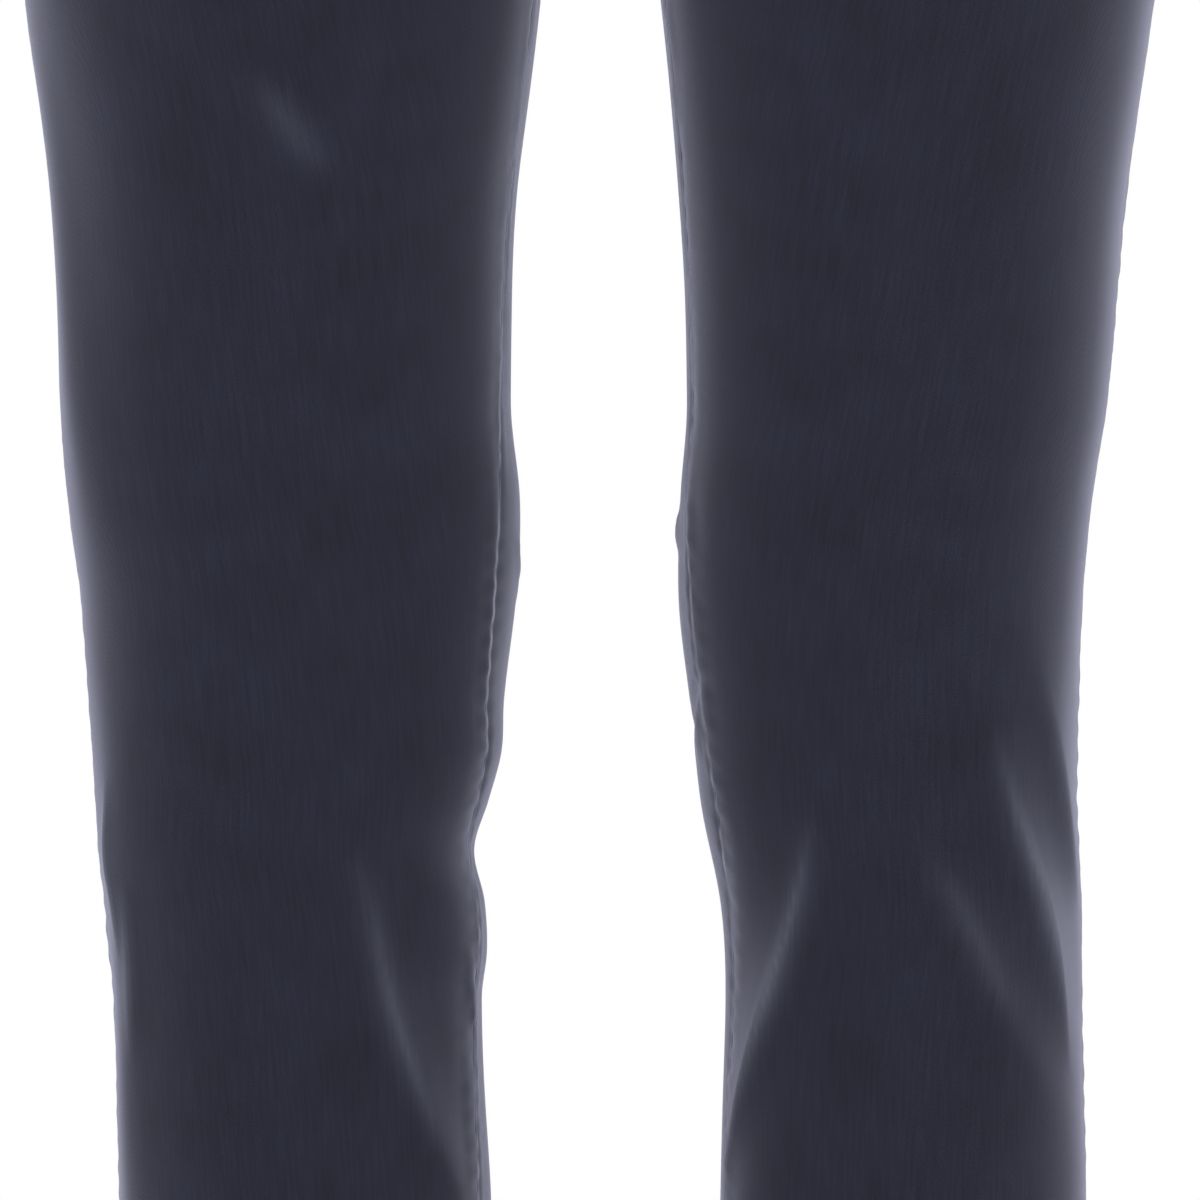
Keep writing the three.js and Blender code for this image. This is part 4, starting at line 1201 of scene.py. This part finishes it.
def placeOn(piece, spot, z, distance, lift):
    # turn and move a modelled piece from the origin: its Z out of the cloth and its Y up
    here = spot(np.array([z]), np.array([distance]), lift)[0]
    out = Vector(spot(np.array([z]), np.array([distance]), lift + 5.0)[0] - here).normalized()
    across = Vector((0, 0, 1)).cross(out).normalized()
    turn = Matrix((across, out.cross(across), out)).transposed().to_4x4()
    piece.matrix_world = Matrix.Translation(Vector(here) * mm) @ turn
    deselectAll()
    piece.select_set(True)
    bpy.context.view_layer.objects.active = piece
    bpy.ops.object.transform_apply(location=True, rotation=True, scale=True)


def addModifier(piece, kind, **settings):
    bpy.context.view_layer.objects.active = piece
    bpy.ops.object.modifier_add(type=kind)
    made = piece.modifiers[-1]
    for key, value in settings.items():
        setattr(made, key, value)
    bpy.ops.object.modifier_apply(modifier=made.name)


def buildSlider():
    # wide at the top, with a narrower tail and a raised bridge
    body = newBlock("zip_slider_body", slider["width"], slider["height"], slider["thick"])
    resizeFaces(body, lambda face: face.normal.y < -0.9, slider["tail"])
    selectFaces(body, lambda face: face.normal.z > 0.9)
    bpy.ops.mesh.inset(thickness=slider["bridgeInset"] * mm)
    extrudeBy(0, 0, slider["bridgeRise"] * mm)
    bpy.ops.transform.resize(value=slider["bridge"])
    bpy.ops.object.mode_set(mode="OBJECT")
    addModifier(body, "BEVEL", width=slider["bevel"] * mm, segments=2, limit_method="ANGLE")
    top = zipper["top"] - slider["below"]
    placeOn(body, behindFly, top - slider["height"] / 2, slotAt, slider["lift"] + slider["thick"] / 2)
    keep(body, brass, "zip", "zip_slider")
    pull = newBlock("zip_slider_pull", pullTab["width"], pullTab["length"], pullTab["thick"])
    resizeFaces(pull, lambda face: face.normal.y > 0.9, pullTab["top"])
    selectFaces(pull, lambda face: face.normal.z > 0.9)
    bpy.ops.mesh.inset(thickness=pullTab["inset"] * mm)
    extrudeBy(0, 0, -pullTab["sunk"] * mm)
    bpy.ops.object.mode_set(mode="OBJECT")
    addModifier(pull, "BEVEL", width=pullTab["bevel"] * mm, segments=2, limit_method="ANGLE")
    low = top - slider["height"] - pullTab["length"] / 2
    placeOn(pull, behindFly, low, slotAt, slider["lift"] + pullTab["lift"])
    keep(pull, brass, "zip")


buildSlider()

# Buttons: four holes, a raised rim and a dished middle, sewn on with two bars of thread
button = {
    "thick": 2.8, "rim": 1.6, "slope": 0.9, "dish": 0.8, "back": 0.8, "hole": 0.9, "holesApart": 1.14,
    "round": 0.4, "threadProud": 0.12, "strandsApart": 0.42, "strandsOverHoles": 1.7, "gap": 0.3,
    "roundFrom": 0.4, "smoothBelow": 0.6,  # angles between faces, in radians
}
waistButton = {"width": 17, "toCentreFront": 6, "shank": 0.5}
pocketButton = {"width": 15, "shank": 0.6}


def buildButton(name, spot, z, distance, width, lift):
    deselectAll()
    thick = button["thick"] * mm
    bpy.ops.mesh.primitive_cylinder_add(vertices=48, radius=width / 2 * mm, depth=thick,
                                        location=(0, 0, thick / 2))
    made = bpy.context.object
    made.name = name + "_horn"
    bpy.ops.object.transform_apply(location=True)
    selectFaces(made, lambda face: face.normal.z > 0.9)
    bpy.ops.mesh.inset(thickness=button["rim"] * mm)
    bpy.ops.mesh.inset(thickness=button["slope"] * mm)
    bpy.ops.transform.translate(value=(0, 0, -button["dish"] * mm))
    resizeFaces(made, lambda face: face.normal.z < -0.9, (button["back"], button["back"], 1))
    bpy.ops.object.mode_set(mode="OBJECT")
    addModifier(made, "BEVEL", width=button["round"] * mm, segments=3, limit_method="ANGLE",
                angle_limit=button["roundFrom"])
    apart = button["holesApart"]
    for x in (-apart, apart):
        for y in (-apart, apart):
            deselectAll()
            bpy.ops.mesh.primitive_cylinder_add(vertices=14, radius=button["hole"] * mm, depth=4 * thick,
                                                location=(x * mm, y * mm, 0))
            pin = bpy.context.object
            addModifier(made, "BOOLEAN", object=pin, operation="DIFFERENCE", solver="EXACT")
            bpy.data.objects.remove(pin)
    made.data.polygons.foreach_set("use_smooth", np.ones(len(made.data.polygons), bool))
    made.select_set(True)
    bpy.context.view_layer.objects.active = made
    bpy.ops.object.shade_smooth_by_angle(angle=button["smoothBelow"])
    placeOn(made, spot, z, distance, lift)
    keep(made, horn, "button", name)
    threadButton(name + "_thread", spot, z, distance, lift)


def threadButton(name, spot, z, distance, lift):
    # two bars of three strands each, through the holes
    here = spot(np.array([z]), np.array([distance]), lift)[0]
    out = unit(spot(np.array([z]), np.array([distance]), lift + 5.0)[0] - here)
    across = unit(np.cross([0, 0, 1], out))
    up = np.cross(out, across)
    apart = button["holesApart"]
    top = button["thick"] - button["dish"] + button["threadProud"]
    middles = np.array([here + out * top + up * (row * apart + strand * button["strandsApart"])
                        for row in (-1, 1) for strand in (-1, 0, 1)])
    bar = (sewn[0] * np.array([2 * apart / button["strandsOverHoles"], 1, 1]), sewn[1])
    frames = (middles, np.tile(across, (len(middles), 1)), np.tile(out, (len(middles), 1)))
    joinCopies(name, bar, [frames], thread, "cloth")


def bandSpot(leg):
    # a place on the finished band: lift is off its outer face
    def spot(z, distance, lift):
        z, distance, lift = asArrays(z, distance, lift)
        length = bandLength(leg, z.ravel()).reshape(z.shape)
        return onBand(leg)(z, distance, lift + bandLift(leg, z, length - np.abs(distance)))
    return spot


waistAt = bandLength(1, 0)[0] - waistButton["toCentreFront"]
overFly = band["proud"] + underlap["raise"] + button["gap"] + waistButton["shank"]
buildButton("waist_button", onBand(1), 0, waistAt, waistButton["width"], overFly)
buttonZ = backPocket["z"] - backPocket["buttonBelow"]


def pocketMiddle(leg):
    row = rowLength(leg, "back", buttonZ)[0]
    return row - backPocket["fromCentreSeam"] - backPocket["width"] / 2


for leg, side in sides:
    buildButton(f"back_button_{side}", onPanel(leg, "back"), buttonZ, pocketMiddle(leg),
                pocketButton["width"], button["gap"] + pocketButton["shank"])
print("buttons made")

# Stitching
# at how many places the course of each line is taken, or how far apart
courses = {
    "hem": 90, "flyCurve": 40, "flyStep": 3.0, "mouthStep": 4.0, "welt": 60, "weltEnd": 9, "band": 150,
    "bandEnd": 12, "loop": 60,
}
hemStitch = {"aboveHem": 27.5, "fromSeams": 0.6}
flyStitch = {
    "fromEdge": 38, "underBand": 1.5, "curveFrom": -132, "bottom": -171, "fromCentre": 0.8,
    "seamFrom": 4, "seamTo": 3, "fromSeam": 1.6,  # the short run below, down to the crotch
    "tackAbove": 5, "tackFromCentre": 3.6, "tack": (5.5, 2.4),
}
mouthStitch = {
    "rows": (1.6, 7.2), "top": -21.5, "pastBottom": 2,
    "tackFromEnds": (5, 6), "tackAt": 4.4, "tack": (7.4, 1.9),
}
pocketStitch = {"fromLip": 1.4, "pastEnds": 1.2, "endBars": 2, "barRows": (-0.6, 0, 0.6), "barLift": 0.16}
bandStitch = {"fromTop": 2.2, "fromSeam": 2.0, "fromBack": 1.5, "fromFront": 2.2}
loopStitch = {
    "from": -29, "to": 18, "rows": (-3.7, 3.7), "tacks": ((-27.5, 2.0), (17.6, 1.6)), "tackWidth": 9.2,
    "tackLift": 0.16,
}
tack = {"rowsApart": 0.62, "pitch": 0.92, "lift": 0.18}
buttonhole = {
    "stitches": 64, "inside": 1.6, "square": 1.25, "end": 1.3, "halfWidth": 1.35, "lift": 0.12,
    "stitch": (0.75, 1.15, 1), "waistLength": 21, "pocketLength": 19, "pastWaistButton": 4,
    "abovePocketButton": 1,
}


def tackRows(spot, z, distance, width, height, lift=tack["lift"], stops=3):
    # rows of stitches close together that make one solid tack
    frames = []
    for dz in np.arange(-height / 2, height / 2 + 0.01, tack["rowsApart"]):
        across = np.linspace(distance - width / 2, distance + width / 2, stops)
        heights = np.full(stops, z + dz)
        frames.append(framesOn(spot, heights, across, lift, stitch["length"] * tack["pitch"]))
    return frames


def stitchLegs():
    hemZ = level["hem"] + hemStitch["aboveHem"]
    for leg, side in sides:
        lines = []
        for face in ("front", "back"):
            last = rowLength(leg, face, hemZ)[0] - hemStitch["fromSeams"]
            run = np.linspace(hemStitch["fromSeams"], last, courses["hem"])
            lines.append(framesOn(onPanel(leg, face), np.full_like(run, hemZ), run, stitch["sunk"]))
        sewLines(f"stitching_leg_{side}", lines)


def stitchFly():
    spot = onPanel(1, "front")
    inward = flyStitch["fromEdge"] - fly["edgePastCentre"]
    turn = np.linspace(0, math.pi / 2, courses["flyCurve"])
    top = level["waistSeam"] - flyStitch["underBand"]
    straight = np.arange(top, flyStitch["curveFrom"], -courses["flyStep"])
    curve = flyStitch["curveFrom"] + (flyStitch["bottom"] - flyStitch["curveFrom"]) * np.sin(turn)
    z = np.concatenate([straight, curve])
    off = np.concatenate([np.full_like(straight, inward), inward * np.cos(turn) + flyStitch["fromCentre"]])
    lines = [framesOn(spot, z, rowLength(1, "front", z) - off, stitch["sunk"])]
    low = level["crotch"] + flyStitch["seamTo"]
    below = np.arange(flyStitch["bottom"] - flyStitch["seamFrom"], low, -courses["flyStep"])
    across = rowLength(1, "front", below) - flyStitch["fromSeam"]
    lines.append(framesOn(spot, below, across, stitch["sunk"]))
    z = flyStitch["bottom"] + flyStitch["tackAbove"]
    lines += tackRows(spot, z, rowLength(1, "front", z)[0] - flyStitch["tackFromCentre"], *flyStitch["tack"])
    sewLines("stitching_fly", lines)


def stitchPockets():
    fromTop, fromBottom = mouthStitch["tackFromEnds"]
    for leg, side in sides:
        spot = onPanel(leg, "front")
        low = pocketBottom + mouthStitch["pastBottom"]
        z = np.arange(mouthStitch["top"], low, -courses["mouthStep"])
        lines = [framesOn(spot, z, pocketMouth(z) + row, stitch["sunk"]) for row in mouthStitch["rows"]]
        for at in (level["waistSeam"] - fromTop, pocketBottom + fromBottom):
            middle = float(pocketMouth(at)) + mouthStitch["tackAt"]
            lines += tackRows(spot, at, middle, *mouthStitch["tack"])
        spot = onPanel(leg, "back")
        end = rowLength(leg, "back", backPocket["z"])[0] - backPocket["fromCentreSeam"]
        start = end - backPocket["width"]
        out = backPocket["lip"] + pocketStitch["fromLip"]
        past = pocketStitch["pastEnds"]
        run = np.linspace(start - past, end + past, courses["welt"])
        for way in (-1, 1):
            z = np.full_like(run, backPocket["z"] + way * out)
            lines.append(framesOn(spot, z, run, stitch["sunk"]))
        z = np.linspace(backPocket["z"] + out, backPocket["z"] - out, courses["weltEnd"])
        for place in (start - pocketStitch["endBars"], end + pocketStitch["endBars"]):
            for dx in pocketStitch["barRows"]:
                bar = np.full_like(z, place + dx)
                lines.append(framesOn(spot, z, bar, pocketStitch["barLift"], stitch["length"]))
        sewLines(f"stitching_pockets_{side}", lines)


def stitchBand():
    lines = []
    top, bottom = level["bandTop"] - bandStitch["fromTop"], level["waistSeam"] + bandStitch["fromSeam"]
    for leg, _ in sides:
        spot = bandSpot(leg)
        past = fly["edgePastCentre"] if leg > 0 else underlap["length"]
        for z in (top, bottom):
            end = bandLength(leg, z)[0] + past - bandStitch["fromFront"]
            run = np.linspace(bandStitch["fromBack"], end, courses["band"])
            lines.append(framesOn(spot, np.full_like(run, z), run, stitch["sunk"]))
        if leg > 0:
            z = np.linspace(top, bottom, courses["bandEnd"])
            across = bandLength(leg, z) + past - bandStitch["fromFront"]
            lines.append(framesOn(spot, z, across, stitch["sunk"]))
    sewLines("stitching_waistband", lines)


def stitchLoops():
    z = np.linspace(loopStitch["from"], loopStitch["to"], courses["loop"])
    lift = loopTop(z) + stitch["sunk"]
    lines = []
    for leg, _ in sides:
        spot = onBand(leg)
        for k, distance in enumerate(beltLoop["fromCentreBack"]):
            if k == 0 and leg < 0:
                continue
            for x in loopStitch["rows"]:
                lines.append(framesOn(spot, z, np.full_like(z, distance + x), lift))
            for at, height in loopStitch["tacks"]:
                high = float(loopTop(np.array([at]))[0]) + loopStitch["tackLift"]
                lines += tackRows(spot, at, distance, loopStitch["tackWidth"], height, high, 5)
    sewLines("stitching_belt_loops", lines)


def sewButtonhole(name, spot, z, distance, length, alongBand):
    # a ring of close stitches round a slot
    turn = np.linspace(0, 2 * math.pi, buttonhole["stitches"], endpoint=False)
    slot = (length / 2 - buttonhole["inside"]) * np.clip(buttonhole["square"] * np.cos(turn), -1, 1)
    longWay, shortWay = slot + buttonhole["end"] * np.cos(turn), buttonhole["halfWidth"] * np.sin(turn)
    dz, dx = (shortWay, longWay) if alongBand else (longWay, shortWay)
    slotZ, slotX = (0 * slot, slot) if alongBand else (slot, 0 * slot)
    lift = buttonhole["lift"]
    middle = spot(z + dz, distance + dx, lift)
    outs = unit(spot(z + dz, distance + dx, lift + 1.0) - middle)
    along = unit(middle - spot(z + slotZ, distance + slotX, lift))
    along = unit(along - (along * outs).sum(-1, keepdims=True) * outs)
    short = (sewn[0] * np.array(buttonhole["stitch"]), sewn[1])
    joinCopies(name, short, [(middle, along, outs)], thread, "cloth")


stitchLegs()
stitchFly()
stitchPockets()
stitchBand()
stitchLoops()
sewButtonhole("buttonhole_waist", bandSpot(1), 0, waistAt + buttonhole["pastWaistButton"],
              buttonhole["waistLength"], True)
for leg, side in sides:
    sewButtonhole(f"buttonhole_back_{side}", onPanel(leg, "back"), buttonZ + buttonhole["abovePocketButton"],
                  pocketMiddle(leg), buttonhole["pocketLength"], False)
print("stitching made")


# Stage and light
floor = {"radius": 3.0, "belowHem": 0.03}  # in metres


def addStage():
    deselectAll()
    bpy.ops.mesh.primitive_circle_add(vertices=96, radius=floor["radius"], fill_type="NGON",
                                      location=(0, 0, level["hem"] * mm - floor["belowHem"]))
    made = bpy.context.object
    made.name = "floor"
    material = bpy.data.materials.new("pale_floor")
    material.use_nodes = True
    shader = material.node_tree.nodes["Principled BSDF"]
    shader.inputs["Base Color"].default_value = (0.86, 0.86, 0.86, 1)
    shader.inputs["Roughness"].default_value = 0.8
    made.data.materials.append(material)
    bpy.ops.object.transform_apply(location=True, rotation=True, scale=True)


# Light as in a white sweep: soft from the sides, from in front and from behind, and a dimmer room in front
lights = [
    # name, place, aimed at, width, height, watts
    ("left_softbox", (2.2, -0.6, -0.2), (0, 0, -0.6), 0.6, 1.8, 12),
    ("right_softbox", (-2.2, -0.6, -0.2), (0, 0, -0.6), 0.6, 1.8, 12),
    ("left_front", (1.0, -2.55, 0.1), (0, 0, -0.6), 0.4, 1.6, 16),
    ("right_front", (-1.0, -2.55, 0.1), (0, 0, -0.6), 0.4, 1.6, 16),
    ("left_back", (1.3, 2.3, 0.2), (0, 0, -0.5), 0.4, 1.6, 9),
    ("right_back", (-1.3, 2.3, 0.2), (0, 0, -0.5), 0.4, 1.6, 5),
]
room = {"behind": 0.7, "inFront": 0.205, "fadeFrom": -0.9, "fadeTo": 0.5}


def addLights():
    for name, place, target, width, height, watts in lights:
        data = bpy.data.lights.new(name, "AREA")
        data.shape, data.size, data.size_y, data.energy = "RECTANGLE", width, height, watts
        lamp = bpy.data.objects.new(name, data)
        bpy.context.collection.objects.link(lamp)
        lamp.location = place
        lamp.rotation_euler = (Vector(target) - Vector(place)).to_track_quat("-Z", "Y").to_euler()
    world = bpy.data.worlds.new("white_room")
    world.use_nodes = True
    tree = world.node_tree
    link = tree.links.new
    ground = tree.nodes["Background"]
    way = node(tree, "ShaderNodeTexCoord")
    split = node(tree, "ShaderNodeSeparateXYZ")
    link(way.outputs["Generated"], split.inputs[0])
    fade = node(tree, "ShaderNodeMapRange", interpolation_type="SMOOTHSTEP")
    fade.inputs["From Min"].default_value = room["fadeFrom"]
    fade.inputs["From Max"].default_value = room["fadeTo"]
    fade.inputs["To Min"].default_value = room["inFront"]
    fade.inputs["To Max"].default_value = room["behind"]
    link(split.outputs[1], fade.inputs["Value"])
    path = node(tree, "ShaderNodeLightPath")
    seen = node(tree, "ShaderNodeMix")  # the room itself shows plain white
    link(path.outputs["Is Camera Ray"], seen.inputs["Factor"])
    link(fade.outputs[0], seen.inputs["A"])
    seen.inputs["B"].default_value = 1
    link(seen.outputs["Result"], ground.inputs["Strength"])
    ground.inputs["Color"].default_value = (1, 1, 1, 1)
    bpy.context.scene.world = world
    bpy.context.scene.view_settings.view_transform = "Standard"


addStage()
addLights()

# Any node that isn't replaced keeps its solid and takes its own finish
finishes = {"cloth": twill, "button": horn, "zip": brass}
slotOf = {row["node"]: row["material_slot"] for row in frame["record"]["subparts"]}
for name, solid in frame["nodes"].items():
    solid.data.materials.clear()
    solid.data.materials.append(finishes[slotOf[name]])
